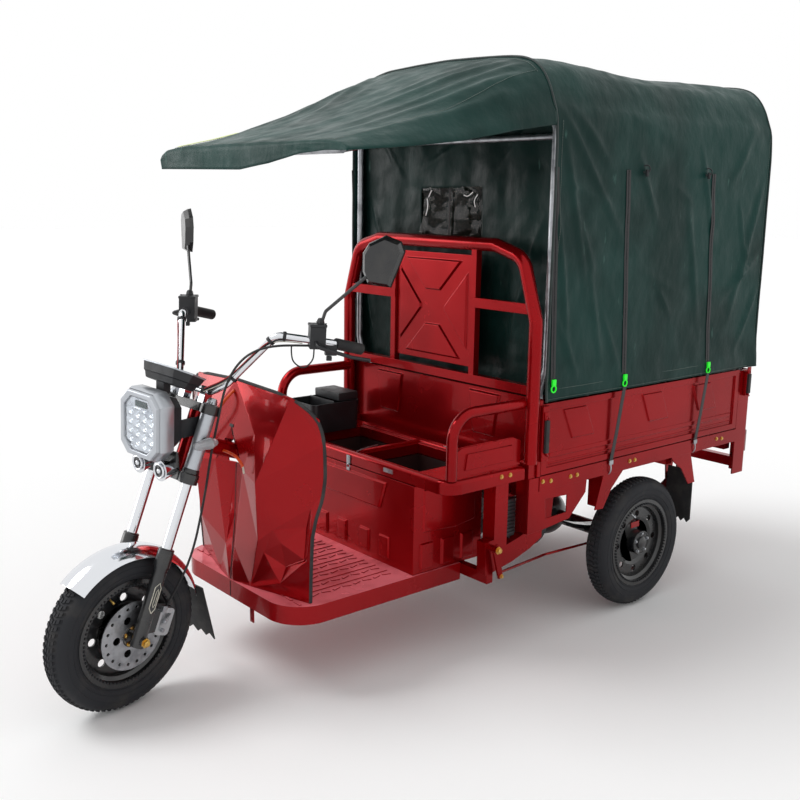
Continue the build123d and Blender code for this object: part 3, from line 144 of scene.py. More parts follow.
def linear(red, green, blue):
    """A screen colour from 0 to 255 as the linear values that a shader takes."""
    parts = [part / 255 for part in (red, green, blue)]
    return [p / 12.92 if p <= 0.04045 else ((p + 0.055) / 1.055) ** 2.4 for p in parts] + [1.0]


def shader_of(material):
    return material.node_tree.nodes["Principled BSDF"]


def finish(name, colour, roughness, **sockets):
    """A material with one shader; the rest of its look is built on top by the functions below."""
    material = bpy.data.materials.new(name)
    material.use_nodes = True
    shader = shader_of(material)
    shader.inputs["Base Color"].default_value = colour
    shader.inputs["Roughness"].default_value = roughness
    for key, value in sockets.items():
        shader.inputs[key.replace("_", " ")].default_value = value
    return material


def object_noise(tree, scale, detail=3.0, stretch=(1, 1, 1)):
    """Noise over the piece, in metres, pulled out along an axis by a small stretch value."""
    where = add_node(tree, "ShaderNodeTexCoord").outputs["Object"]
    moved = made_by(tree, "ShaderNodeMapping", {"Vector": where, "Scale": stretch})
    made = add_node(tree, "ShaderNodeTexNoise", {"Vector": moved, "Scale": scale, "Detail": detail})
    return made.outputs["Fac"]


def spread(tree, value, low, high, lowest=0.0, highest=1.0):
    """A texture value mapped from one range to another."""
    return made_by(tree, "ShaderNodeMapRange", {
        "Value": value, "From Min": low, "From Max": high, "To Min": lowest, "To Max": highest,
    })


def maths(tree, operation, first, second):
    return made_by(tree, "ShaderNodeMath", {0: first, 1: second}, operation=operation)


def lay_over(material, colour, amount):
    """Mix another colour over what the material has so far."""
    tree = material.node_tree
    mix = add_node(tree, "ShaderNodeMix", {0: amount, 7: colour}, data_type="RGBA")
    socket = shader_of(material).inputs["Base Color"]
    if socket.is_linked:
        tree.links.new(socket.links[0].from_socket, mix.inputs[6])
    else:
        mix.inputs[6].default_value = socket.default_value
    tree.links.new(mix.outputs[2], socket)


def mottle(material, other, scale, low=0.45, high=0.65, stretch=(1, 1, 1), amount=1.0):
    """Patches of another colour."""
    tree = material.node_tree
    lay_over(material, other, spread(tree, object_noise(tree, scale, 4.0, stretch), low, high, 0.0, amount))


def polish(material, low, high, scale):
    """Roughness that wanders between two values."""
    tree = material.node_tree
    rough = spread(tree, object_noise(tree, scale, 4.0), 0.35, 0.65, low, high)
    tree.links.new(rough, shader_of(material).inputs["Roughness"])


def grain(material, scale, height, stretch=(1, 1, 1), detail=2.0):
    """Fine relief; several may be laid over one another."""
    tree = material.node_tree
    normal = shader_of(material).inputs["Normal"]
    bump = add_node(tree, "ShaderNodeBump", {
        "Height": object_noise(tree, scale, detail, stretch), "Strength": 1.0, "Distance": height,
    })
    if normal.is_linked:
        tree.links.new(normal.links[0].from_socket, bump.inputs["Normal"])
    tree.links.new(bump.outputs[0], normal)
    return material


def scuffs_and_painted_sheen(material, colour, amount):
    """Pale colour on what faces up: partly scuffs, partly painted sheen, a paler top where the light falls."""
    tree = material.node_tree
    up = add_node(tree, "ShaderNodeSeparateXYZ", {0: add_node(tree, "ShaderNodeNewGeometry").outputs["Normal"]})
    facing = spread(tree, up.outputs[2], 0.6, 1.0, 0.0, amount)
    patch = spread(tree, object_noise(tree, 9.0, 6.0), 0.2, 0.6)
    lay_over(material, colour, maths(tree, "MULTIPLY", facing, patch))


# Finishes
def surface(name, colour, roughness, patches=None, wander=None, relief=None, **sockets):
    """A finish with patches of another colour, a roughness that wanders and fine relief laid on it."""
    made = finish(name, linear(*colour), roughness, **sockets)
    if patches:
        mottle(made, linear(*patches[0]), *patches[1:])
    if wander:
        polish(made, *wander)
    return grain(made, *relief) if relief else made


def candy_red(name, metal=0.62, gloss=0.22):
    return surface(
        name, (158, 8, 16), 0.24, ((138, 5, 12), 2.2), (0.18, 0.28, 7), (90, 0.00004),
        Metallic=metal, Specular_IOR_Level=0.12, Coat_Weight=gloss, Coat_Roughness=0.03, Coat_IOR=1.4,
    )


def scuffed_red_with_painted_sheen():
    """The floor pan's paint, scuffed pale where feet rub it, with a painted sheen: its up-facing faces are paler pink
    where the light falls.
    """
    paint = candy_red("scuffed_pan_paint_with_painted_sheen", metal=0.15)
    # pale pink on up-facing faces: partly scuffs, partly painted sheen
    scuffs_and_painted_sheen(paint, linear(255, 150, 160), 1.0)
    scuffs_and_painted_sheen(paint, linear(250, 120, 132), 0.6)
    return grain(paint, 60, 0.0004)


def coated_canvas(name, base):
    """Dark green waterproof cloth: a fine plain weave under a coating, with rubbed patches."""
    cloth = finish(
        name, linear(*base), 0.5,
        Specular_IOR_Level=0.16, Sheen_Weight=0.04, Sheen_Roughness=0.4, Sheen_Tint=linear(120, 200, 190),
    )
    mottle(cloth, linear(14, 44, 40), 3.0)
    mottle(cloth, linear(84, 122, 112), 34, 0.69, 0.78, (1, 1, 0.3), 0.5)
    polish(cloth, 0.34, 0.5, 12)
    grain(cloth, 18, 0.0045, (1, 1, 0.6), 5.0)
    return grain(cloth, 900, 0.00015)


def coloured_plastic(name, colour, roughness=0.4, glow=0.0):
    base = linear(*colour)
    plastic = finish(name, base, roughness, Emission_Color=base, Emission_Strength=glow)
    mottle(plastic, [part * 0.82 for part in base[:3]] + [1.0], 60)
    return grain(plastic, 500, 0.0001)


def lens_plastic(name, colour):
    return surface(name, colour, 0.12, relief=(180, 0.0003, (1, 0.1, 1)), Transmission_Weight=0.6, Coat_Weight=1.0)


PAINT = candy_red("candy_red_paint")
PAN_PAINT = scuffed_red_with_painted_sheen()
SHIELD_PAINT = candy_red("polished_red_paint", gloss=0.38)
CANVAS = coated_canvas("green_canvas", (22, 60, 55))
# A darker copy of the green canvas: painted shade for the front curtain under the awning
SHADED_CANVAS = coated_canvas("painted_shade_canvas", (11, 32, 29))
CANVAS_EDGE = surface("canvas_binding", (18, 34, 32), 0.6, ((30, 50, 47), 20), None, (700, 0.0002), Sheen_Weight=0.2)
RUBBER = surface(
    "tyre_rubber", (38, 39, 43), 0.72, ((58, 56, 55), 18, 0.5, 0.8), None, (300, 0.0002), Specular_IOR_Level=0.35,
)
GLOSS_BLACK = surface(
    "black_gloss_paint", (20, 21, 24), 0.3, ((38, 37, 36), 20), (0.22, 0.42, 25), (220, 0.0001),
    Coat_Weight=0.6, Coat_Roughness=0.1,
)
PLASTIC = surface("moulded_black_plastic", (30, 31, 34), 0.45, None, (0.36, 0.55, 30), (700, 0.0002))
SOFT_RUBBER = surface("soft_black_rubber", (30, 30, 32), 0.68, ((50, 49, 48), 24), None, (240, 0.0003))
CHROME = surface("chrome", (226, 228, 232), 0.08, None, (0.05, 0.16, 18), (40, 0.00008), Metallic=1.0)
SILVER = surface(
    "silver_paint", (188, 192, 198), 0.34, None, (0.28, 0.42, 24), (900, 0.00005), Metallic=0.75, Coat_Weight=0.3,
)
ZINC = surface(
    "zinc_steel", (176, 178, 182), 0.38, ((140, 142, 146), 30), (0.28, 0.5, 26), (200, 0.0001), Metallic=0.95,
)
GOLD = surface("gold_zinc_plating", (214, 178, 96), 0.3, ((196, 150, 92), 120), None, (300, 0.00006), Metallic=1.0)
ALLOY = surface("cast_alloy", (190, 192, 195), 0.42, relief=(420, 0.00025), Metallic=0.9)
REFLECTOR = surface(
    "lamp_reflector_plating", (236, 238, 240), 0.12, ((190, 194, 200), 20, 0.5, 0.7), None, (60, 0.00005),
    Metallic=0.85,
)
MIRROR_GLASS = surface("mirror_glass", (200, 204, 210), 0.03, relief=(30, 0.00003), Metallic=1.0)
LAMP_GLASS = surface("lamp_glass", (245, 248, 252), 0.03, relief=(60, 0.0001), Transmission_Weight=1.0, IOR=1.45)
# Soft clear sheet: mostly see-through, with a sharp gloss. Its dark brown tint is painted shade: the shaded inside of
# the cover seen through it.
FILM = surface(
    "clear_window_film", (52, 48, 42), 0.06, None, (0.03, 0.08, 18), (5, 0.004, (1, 1, 1), 1.0),
    Alpha=0.34, Specular_IOR_Level=0.35,
)
# Pale rods that glow on the window film: painted glints, the highlights the film catches
PAINTED_GLINT_PLASTIC = coloured_plastic("glowing_painted_glints", (225, 228, 226), 0.15, 0.25)
STRAP = surface("woven_strap", (28, 28, 30), 0.7, relief=(600, 0.0004, (1, 1, 0.3)), Sheen_Weight=0.3)
RED_LENS = lens_plastic("red_lens", (150, 10, 12))
CLEAR_LENS = lens_plastic("clear_lens", (225, 228, 232))
# Dark brown sheets inside the seat bins: painted shade on their red walls
BIN_SHADE = coloured_plastic("painted_bin_shade", (52, 26, 24), 0.55)
DISPLAY = coloured_plastic("dark_display", (70, 92, 88), 0.2)
# The zip pulls' bright green plastic glows, though it is no lamp: painted light
PULL_PAINTED_GLOW = coloured_plastic("bright_green_painted_glow", (30, 235, 40), 0.35, 0.35)
ORANGE = coloured_plastic("orange_loom", (240, 84, 22))
PALE = coloured_plastic("pale_plastic", (220, 216, 200))
RED_WIRE = coloured_plastic("red_wire", (178, 18, 22))
# The awning's reflective strip glows, though it is no lamp: a painted reflection
STRIP_PAINTED_GLOW = coloured_plastic("reflective_tape_painted_glow", (214, 226, 140), 0.4, 0.1)
THREAD = coloured_plastic("thread", (120, 132, 126), 0.7)

# The finish of each of the record's material slots, and the slot that each further finish belongs to
NODE_FINISH = {
    "red_paint": PAINT, "black_paint": GLOSS_BLACK, "steel": ZINC, "silver_paint": SILVER, "chrome": CHROME,
    "tyre_rubber": RUBBER, "rubber": SOFT_RUBBER, "black_plastic": PLASTIC, "lamp_glass": LAMP_GLASS,
    "red_lens": RED_LENS, "clear_lens": CLEAR_LENS, "green_fabric": CANVAS, "clear_sheet": FILM,
    "webbing": STRAP, "cast_alloy": ALLOY,
}
SPECIAL_FINISH = {"floor_pan": PAN_PAINT, "front_shield": SHIELD_PAINT, "mirrors": GLOSS_BLACK}
SLOT_OF = {material.name: slot for slot, material in NODE_FINISH.items()}
for extra_slot, extra_finishes in {
    "red_paint": [PAN_PAINT], "green_fabric": [SHADED_CANVAS, CANVAS_EDGE, STRIP_PAINTED_GLOW], "clear_sheet": [PAINTED_GLINT_PLASTIC],
    "steel": [GOLD], "chrome": [REFLECTOR, MIRROR_GLASS], "webbing": [THREAD],
    "black_plastic": [BIN_SHADE, DISPLAY, PULL_PAINTED_GLOW, ORANGE, PALE, RED_WIRE],
}.items():
    for extra_finish in extra_finishes:
        SLOT_OF[extra_finish.name] = extra_slot


def dress_cad_nodes():
    for row in frame["record"]["subparts"]:
        materials = NODES[row["node"]].data.materials
        materials.clear()
        materials.append(SPECIAL_FINISH.get(row["node"], NODE_FINISH[row["material_slot"]]))


# Mesh helpers
def attach(made, body):
    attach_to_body(made, body)
    return made


def settle(name, mesh, material, body, sharp=None):
    """Show a mesh as a smooth piece on a body; edges sharper than an angle in degrees stay hard."""
    mesh.materials.append(material)
    mesh.polygons.foreach_set("use_smooth", [True] * len(mesh.polygons))
    if sharp:
        mesh.set_sharp_from_angle(angle=math.radians(sharp))
    return attach(link(bpy.data.objects.new(name, mesh)), body)


def mesh_of(name, points, faces=(), edges=()):
    mesh = bpy.data.meshes.new(name)
    mesh.from_pydata([tuple(point) for point in points], edges, faces)
    return mesh


def make_piece(name, points, faces, material, body):
    """A piece from its points in the row frame."""
    mesh = mesh_of(name, points, faces)
    mesh.validate()
    return settle(name, mesh, material, body)


def grid_faces(rows, columns, closed=False, keep=None):
    """Quads over a grid of points stored row by row; closed joins the last row to the first."""
    faces = []
    for row in range(rows if closed else rows - 1):
        for column in range(columns - 1):
            if keep is None or keep(row, column):
                a, b = row * columns + column, (row + 1) % rows * columns + column
                faces.append((a, a + 1, b + 1, b))
    return faces


def bake_modifiers(made):
    """Swap an object's mesh for what its modifiers make of it."""
    graph = bpy.context.evaluated_depsgraph_get()
    graph.update()
    mesh = bpy.data.meshes.new_from_object(made.evaluated_get(graph))
    made.modifiers.clear()
    made.data = mesh


def thicken(made):
    """Give a cloth its thickness, on the side that its faces turn away from."""
    solid = made.modifiers.new("wall", "SOLIDIFY")
    solid.thickness = CLOTH
    solid.offset = -1.0
    bake_modifiers(made)


# Metalwork: the solids again with their edges rounded, as pressed sheet and bent tube are, by a width in millimetres
EDGE_WIDTHS = {
    "main_frame": 2.0, "floor_pan": 3.0, "front_shield": 7.0, "seat_box": 2.0, "seat_deck": 2.4, "armrests": 1.6,
    "storage_tray": 2.0, "backrest_frame": 1.6, "backrest_panel": 1.8, "bed_frame": 1.8, "bed_floor": 1.2,
    "bed_front_wall": 2.0, "side_boards": 1.8, "fender_plates": 1.0, "board_latches": 1.6, "tailgate": 1.8,
    "rear_axle": 1.5, "drive_motor": 3.0, "leaf_springs": 0.8, "brake_linkage": 1.2, "tail_lamps": 3.0,
    "gate_buffers": 2.0, "fork_yokes": 2.2, "fork_tubes": 0.5, "fork_legs": 1.6, "front_fender": 0.8,
    "front_mudflap": 0.8, "rear_mudflaps": 0.8, "handlebar": 1.0, "grips": 1.2, "brake_levers": 2.2, "mirrors": 1.6,
    "headlamp_body": 3.0, "headlamp_bezel": 2.4, "horns": 1.2, "dash_pod": 2.4, "indicators": 2.0,
    "brake_caliper": 2.0, "front_rim": 0.8, "rear_rim_left": 0.8, "rear_rim_right": 0.8, "brake_disc": 0.4,
    "cover_hoops": 0.0,
}
# The least fold, in degrees, that counts as an edge: small on folded sheet, which keeps its flat facets
LEAST_FOLD = {
    "front_shield": 3.5, "mirrors": 10, "dash_pod": 12, "headlamp_body": 12, "headlamp_bezel": 12,
    "bed_front_wall": 12,
}
USUAL_FOLD = 26
SHARPEST_SMOOTH = 32
NEARLY_FLAT = 0.8
WIDE_EDGE = 4
WELD = 2e-6
NODE_BODY = {
    body_node: body_name
    for body_name, body_nodes in frame["record"]["behaviour"]["bodies"].items() for body_node in body_nodes
}


def round_edges(node, width):
    """A welded copy of a solid with bevelled edges, shown in its place."""
    fold = math.radians(LEAST_FOLD.get(node, USUAL_FOLD))
    work = bmesh.new()
    work.from_mesh(NODES[node].data)
    bmesh.ops.remove_doubles(work, verts=work.verts, dist=WELD)
    bmesh.ops.dissolve_limit(work, angle_limit=math.radians(NEARLY_FLAT), verts=work.verts, edges=work.edges)
    mesh = bpy.data.meshes.new(node + "_finished")
    work.to_mesh(mesh)
    work.free()
    mesh.materials.clear()
    mesh.materials.append(NODES[node].data.materials[0])
    made = link(bpy.data.objects.new(node + "_finished", mesh))
    if width:
        bevel = made.modifiers.new("edges", "BEVEL")
        bevel.width = width * MM
        bevel.segments = 3 if width > WIDE_EDGE else 2
        bevel.limit_method = "ANGLE"
        bevel.angle_limit = fold
        bevel.use_clamp_overlap = True
        bake_modifiers(made)
    made.data.polygons.foreach_set("use_smooth", [True] * len(made.data.polygons))
    made.data.set_sharp_from_angle(angle=min(math.radians(SHARPEST_SMOOTH), fold * 1.6))
    weight = made.modifiers.new("shading", "WEIGHTED_NORMAL")
    weight.keep_sharp = True
    bake_modifiers(made)
    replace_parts(attach(made, NODE_BODY[node]), node)


CLAMPS = ((466, 502), (676, 712))


def blacken_clamps():
    """The fork's two clamps, from their heights up the legs, are black between silver tubes."""
    mesh = bpy.data.objects["fork_yokes_finished"].data
    mesh.materials.append(GLOSS_BLACK)
    for face in mesh.polygons:
        drawn = STEER_TURN.inverted() @ face.center
        ahead, high = (drawn.x - REAR_AXLE_X) / MM - WHEELBASE, drawn.z / MM - WHEEL_Z
        up_legs = high * math.cos(RAKE) - ahead * math.sin(RAKE)
        if any(low < up_legs < top for low, top in CLAMPS):
            face.material_index = 1


# Repeats by geometry nodes
def tree_with(name, **inputs):
    """A geometry tree with named inputs; returns it with the sockets that they come from."""
    tree = bpy.data.node_groups.new(name, "GeometryNodeTree")
    for label, kind in {"Geometry": "Geometry", **inputs}.items():
        tree.interface.new_socket(name=label, in_out="INPUT", socket_type="NodeSocket" + kind)
    tree.interface.new_socket(name="Geometry", in_out="OUTPUT", socket_type="NodeSocketGeometry")
    return tree, tree.nodes.new("NodeGroupInput").outputs


def finish_tree(tree, given, points, shape, turn):
    """Set a turned shape on every point, make the copies real and give them their material."""
    copies = made_by(tree, "GeometryNodeInstanceOnPoints", {"Points": points, "Instance": shape, "Rotation": turn})
    real = made_by(tree, "GeometryNodeRealizeInstances", {0: copies})
    dressed = made_by(tree, "GeometryNodeSetMaterial", {"Geometry": real, "Material": given["Material"]})
    tree.links.new(dressed, tree.nodes.new("NodeGroupOutput").inputs[0])
    return tree


def cylinder(tree, sides, radius, depth):
    return made_by(tree, "GeometryNodeMeshCylinder", {"Vertices": sides, "Radius": radius, "Depth": depth})


def turned_to(tree, way):
    return made_by(tree, "FunctionNodeAlignRotationToVector", {"Vector": way}, axis="Z")


def bolt_tree():
    """A hexagon head on a washer at every point, turned to the point's facing vector."""
    tree, given = tree_with("bolt_heads", Radius="Float", Height="Float", Material="Material")
    wide = maths(tree, "MULTIPLY", given["Radius"], 1.45)
    thin = maths(tree, "MULTIPLY", given["Height"], 0.5)
    head = cylinder(tree, 6, given["Radius"], given["Height"])
    lift = made_by(tree, "ShaderNodeCombineXYZ", {2: thin})
    raised = made_by(tree, "GeometryNodeTransform", {"Geometry": head, "Translation": lift})
    both = tree.nodes.new("GeometryNodeJoinGeometry")
    for shape in (raised, cylinder(tree, 18, wide, thin)):
        tree.links.new(shape, both.inputs[0])
    facing = made_by(tree, "GeometryNodeInputNamedAttribute", {"Name": "facing"}, data_type="FLOAT_VECTOR")
    return finish_tree(tree, given, given["Geometry"], both.outputs[0], turned_to(tree, facing))


def bead_tree():
    """Short round-ended beads spaced along a line: stitches and zip teeth."""
    tree, given = tree_with("beads_along_line", Spacing="Float", Length="Float", Radius="Float", Material="Material")
    line = made_by(tree, "GeometryNodeMeshToCurve", {0: given["Geometry"]})
    even = made_by(tree, "GeometryNodeResampleCurve", {"Curve": line, "Length": given["Spacing"]}, mode="LENGTH")
    bead = cylinder(tree, 5, given["Radius"], given["Length"])
    return finish_tree(tree, given, even, bead, turned_to(tree, made_by(tree, "GeometryNodeInputTangent")))


def ring_tree():
    """Copies of the given shape turned about the Y axis through the origin."""
    tree, given = tree_with("ring_about_axle", Count="Int", Material="Material")
    spots = made_by(tree, "GeometryNodeMeshLine", {"Count": given["Count"], "Offset": (0, 0, 0)})
    step = maths(tree, "DIVIDE", 2 * math.pi, given["Count"])
    angle = maths(tree, "MULTIPLY", made_by(tree, "GeometryNodeInputIndex"), step)
    turn = made_by(tree, "ShaderNodeCombineXYZ", {1: angle})
    return finish_tree(tree, given, spots, given["Geometry"], turn)


def grow(name, tree, mesh, **values):
    """Run a geometry tree over a mesh and keep what it makes as a plain mesh."""
    made = link(bpy.data.objects.new(name, mesh))
    modifier = made.modifiers.new("grow", "NODES")
    modifier.node_group = tree
    sockets = {item.name: item.identifier for item in tree.interface.items_tree if item.in_out == "INPUT"}
    for label, value in values.items():
        modifier[sockets[label]] = value
    bake_modifiers(made)
    return made


# Small parts, gathered in one mesh for each finish
HARD_CORNER = 38


def ring(work, middle, across, up, radius, sides):
    """A ring of points about a middle, in the plane of two directions."""
    turns = [2 * math.pi * k / sides for k in range(sides)]
    return [work.verts.new(middle + (across * math.cos(a) + up * math.sin(a)) * radius * MM) for a in turns]


def skin(work, rings, capped=True):
    """Quads between rings of points that follow one another, and a face over each end."""
    for low, high in zip(rings, rings[1:]):
        for k, corner in enumerate(low):
            after = (k + 1) % len(low)
            work.faces.new((corner, low[after], high[after], high[k]))
    if capped:
        work.faces.new(rings[0][::-1])
        work.faces.new(rings[-1])


def axes_about(axis):
    along = Vector(axis).normalized()
    across = along.orthogonal().normalized()
    return along, across, along.cross(across)


def turned(work, profile, start, axis, sides=24):
    """A turned part from (along, radius) pairs in millimetres, about an axis that leads from a start point."""
    along, across, other = axes_about(axis)
    skin(work, [ring(work, start + along * height * MM, across, other, radius, sides) for height, radius in profile])


def block(work, centre, size, along=(1, 0, 0), up=UP, edge=1.0):
    """A block with softened edges; its size is in millimetres along, across and up."""
    x_way = Vector(along).normalized()
    y_way = Vector(up).cross(x_way).normalized()
    spin = Matrix((x_way, y_way, x_way.cross(y_way))).transposed().to_4x4()
    scale = Matrix.Diagonal((size[0] * MM, size[1] * MM, size[2] * MM, 1))
    made = bmesh.ops.create_cube(work, size=1.0, matrix=Matrix.Translation(centre) @ spin @ scale)
    edges = {e for corner in made["verts"] for e in corner.link_edges}
    bmesh.ops.bevel(work, geom=list(edges), offset=edge * MM, segments=2, affect="EDGES", profile=0.7)


def rod(work, route, radius, sides=8, bends=2):
    """A rod, wire or trim along a route of points, its bends rounded."""
    line = [tuple(point) for point in route]
    if bends:
        line = smooth_line(line, 6 * (len(line) - 1) + 1, bends)
    line = [Vector(point) for point in line]
    ways = [(line[min(k + 1, len(line) - 1)] - line[max(k - 1, 0)]).normalized() for k in range(len(line))]
    side = ways[0].orthogonal().normalized()
    rings = []
    for point, way in zip(line, ways):
        side = (side - way * side.dot(way)).normalized()
        rings.append(ring(work, point, side, way.cross(side), radius, sides))
    skin(work, rings)


def hoop(work, centre, axis, radius, thick, sides=20):
    """A closed ring of wire about an axis."""
    along, across, other = axes_about(axis)
    rings = []
    for k in range(sides):
        turn = 2 * math.pi * k / sides
        out = across * math.cos(turn) + other * math.sin(turn)
        rings.append(ring(work, centre + out * radius * MM, out, along, thick, 8))
    skin(work, rings + rings[:1], capped=False)


def slab(work, outline, way, thick):
    """A flat plate: its outline points, and how far it goes along a direction, in millimetres."""
    push = Vector(way).normalized() * thick * MM
    skin(work, [[work.verts.new(point + push * step) for point in outline] for step in (0, 1)])


def ribbon(work, line, across, thick):
    """A flat tape along a line of points; across is its half width as a vector in millimetres."""
    half, out = Vector(across) * MM, Vector(thick) * MM
    skin(work, [
        [work.verts.new(corner) for corner in (point - half, point + half, point + half + out, point - half + out)]
        for point in line
    ])


def parts(count):
    return [bmesh.new() for _ in range(count)]


def gather(name, work, material, body, sharp=HARD_CORNER):
    """Close a gathered mesh as one piece."""
    bmesh.ops.recalc_face_normals(work, faces=work.faces)
    mesh = bpy.data.meshes.new(name)
    work.to_mesh(mesh)
    work.free()
    return settle(name, mesh, material, body, sharp)


def gather_all(body, **pieces):
    """Close several gathered meshes, each given with its finish."""
    for name, (work, material) in pieces.items():
        gather(name, work, material, body)


BOLT_HEADS = bolt_tree()
BEADS = bead_tree()
RING = ring_tree()
# Spacing, length and radius of beads, in millimetres, and their finish
ZIP_TEETH = (5.0, 2.6, 2.4, PLASTIC)
STITCHES = (8.0, 5.0, 0.7, THREAD)


def bolts(name, places, radius, height, material, body):
    """Bolt heads at (point, facing) pairs."""
    mesh = mesh_of(name, [point for point, _ in places])
    facing = mesh.attributes.new("facing", "FLOAT_VECTOR", "POINT")
    for k, (_, way) in enumerate(places):
        facing.data[k].vector = Vector(way).normalized()
    made = grow(name, BOLT_HEADS, mesh, Radius=radius * MM, Height=height * MM, Material=material)
    attach(made, body)


def beads(name, lines, spacing, length, radius, material):
    """Beads along open lines of points on the chassis."""
    points, edges = [], []
    for line in lines:
        edges += [(len(points) + k, len(points) + k + 1) for k in range(len(line) - 1)]
        points += line
    made = grow(
        name, BEADS, mesh_of(name, points, edges=edges),
        Spacing=spacing * MM, Length=length * MM, Radius=radius * MM, Material=material,
    )
    attach(made, "chassis")


# Cover: the same lines as the hoops and end walls give it
COVER_X = (-642.0, 604.0)
COVER_HALF = 512.0
HEM_Z = 860.0
HEM_BAND = 48
ROOF_Z = 1700
SHOULDER_Z = 1800
ROOF_LINE = [(512, 1760), (490, 1801), (475, 1846), (440, 1899), (384, 1936), (251, 1950), (0, 1957)]
CLOTH = 0.0016


def smooth_line(points, count, passes=2):
    """Corner-cut points of an open line, then spaced evenly along it."""
    line = np.array(points, float)
    for _ in range(passes):
        cut = np.empty((2 * len(line) - 2, line.shape[1]))
        cut[0::2], cut[1::2] = 0.75 * line[:-1] + 0.25 * line[1:], 0.25 * line[:-1] + 0.75 * line[1:]
        line = np.vstack([line[:1], cut, line[-1:]])
    lengths = np.concatenate([[0], np.cumsum(np.linalg.norm(np.diff(line, axis=0), axis=1))])
    even = np.linspace(0, lengths[-1], count)
    return np.stack([np.interp(even, lengths, line[:, k]) for k in range(line.shape[1])], axis=1)


def mirrored(half):
    """The (y, z) points of a left half line, and after them those of the right half."""
    return np.vstack([half, (half * [-1, 1])[::-1][1:]])


def part_of(value, whole=1.0):
    """A value as a share of a whole, held between 0 and 1."""
    return max(0.0, min(1.0, value / whole))


def ripple(x, y, z, size):
    """Noise between about -1 and 1 at a place in millimetres."""
    return noise.noise(Vector((x / size, y / size, z / size)))


def crease(u, v, start, end, width, height):
    """A soft ridge along a line in a flat drawing, fading at both its ends."""
    dx, dy = end[0] - start[0], end[1] - start[1]
    length = math.hypot(dx, dy)
    t = ((u - start[0]) * dx + (v - start[1]) * dy) / length ** 2
    if t < -0.1 or t > 1.1:
        return 0.0
    off = ((u - start[0]) * dy - (v - start[1]) * dx) / length
    return height * part_of(t + 0.1, 0.3) * part_of(1.1 - t, 0.5) * math.exp(-((off / width) ** 2))


def creased(u, v, creases):
    return sum(crease(u, v, *each) for each in creases)


# Creases of the side walls as (x, z) ends, width and height, and those of the roof as (x, y) ends
SIDE_CREASES = (
    ((600, 1860), (330, 1610), 15, 13), ((600, 1810), (250, 1380), 12, 10), ((585, 1900), (-60, 1700), 18, 11),
    ((560, 1700), (420, 1180), 13, 8), ((-560, 1840), (-380, 1560), 16, 9), ((-600, 1560), (-420, 1050), 14, 11),
    ((-590, 1300), (-350, 1130), 11, 9), ((590, 1500), (500, 1000), 11, 9), ((100, 1250), (-150, 1160), 9, 7),
    ((30, 1200), (-60, 1090), 8, 7), ((420, 1300), (330, 960), 12, 6), ((-120, 1500), (-240, 1010), 13, 6),
    ((560, 1120), (440, 900), 10, 7), ((-620, 1180), (-480, 930), 10, 9), ((560, 1560), (300, 1480), 9, 6),
    ((180, 1650), (60, 1440), 10, 7), ((-180, 1690), (-300, 1350), 11, 7), ((470, 1440), (380, 1240), 9, 6),
    ((-30, 1560), (-160, 1480), 8, 6), ((-450, 1500), (-520, 1250), 10, 7), ((330, 1120), (230, 930), 9, 6),
)
ROOF_CREASES = (
    ((590, 440), (100, 380), 26, 9), ((580, 380), (-200, 250), 30, 8), ((590, 300), (180, 150), 26, 6),
    ((-600, 420), (-150, 300), 26, 6),
)
# The right wall's creases lie a little further back than the left wall's
RIGHT_SHIFT = 47.0


def cover_relief(x, y, z):
    """How far the cloth of the body stands out from its frame, in millimetres."""
    held = min(1.0, (COVER_X[1] - x) / 60, (x - COVER_X[0]) / 60)
    wall = part_of(SHOULDER_Z - z, 120)
    total = (3.2 * ripple(x, y * 0.4, z, 170) + 1.6 * ripple(x, y, z * 0.7, 62)) * (0.35 + 0.65 * held)
    if wall:
        total += wall * creased(x + (0.0 if y > 0 else RIGHT_SHIFT), z, SIDE_CREASES)
    if wall < 1:
        total += (1 - wall) * creased(x, abs(y), ROOF_CREASES)
    between = math.sin(math.pi * (x - COVER_X[0]) / (COVER_X[1] - COVER_X[0]))
    total -= (1 - wall) * 14 * between ** 2 * (1 if abs(y) < 430 else 0.5)
    return total - wall * 5 * between * math.sin(math.pi * part_of(z - HEM_Z, 900))


def hem_wave(x):
    """How far the loose hem stands out."""
    return 2.5 + 2.0 * math.sin(x / 90.0)


COVER_SECTION = mirrored(smooth_line([(COVER_HALF, HEM_Z), (COVER_HALF, 1500)] + ROOF_LINE, 96))


def make_cover():
    """The cover's body: one sheet from the left hem over the roof to the right hem."""
    rows = 104
    step = np.gradient(COVER_SECTION, axis=0)
    normal = np.stack([-step[:, 1], step[:, 0]], axis=1)
    normal /= -np.linalg.norm(normal, axis=1)[:, None]
    points = []
    for x in np.linspace(*COVER_X, rows):
        for (y, z), (ny, nz) in zip(COVER_SECTION, normal):
            out = cover_relief(x, y, z)
            if z < HEM_Z + HEM_BAND:
                out += hem_wave(x)
            rear_lift = max(0.0, 1 - (x - COVER_X[0]) / 60) * max(0.0, 1 - (z - HEM_Z) / 160)
            points.append(place(x - 4 * rear_lift, y + ny * (out + 10 * rear_lift), z + nz * out))
    cloth = make_piece("cover_cloth", points, grid_faces(rows, len(COVER_SECTION)), CANVAS, "chassis")
    thicken(cloth)
    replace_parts(cloth, "cover_roof", "cover_sides")


AWNING_FRONT = 1410.0
AWNING_START = COVER_X[1] + 1
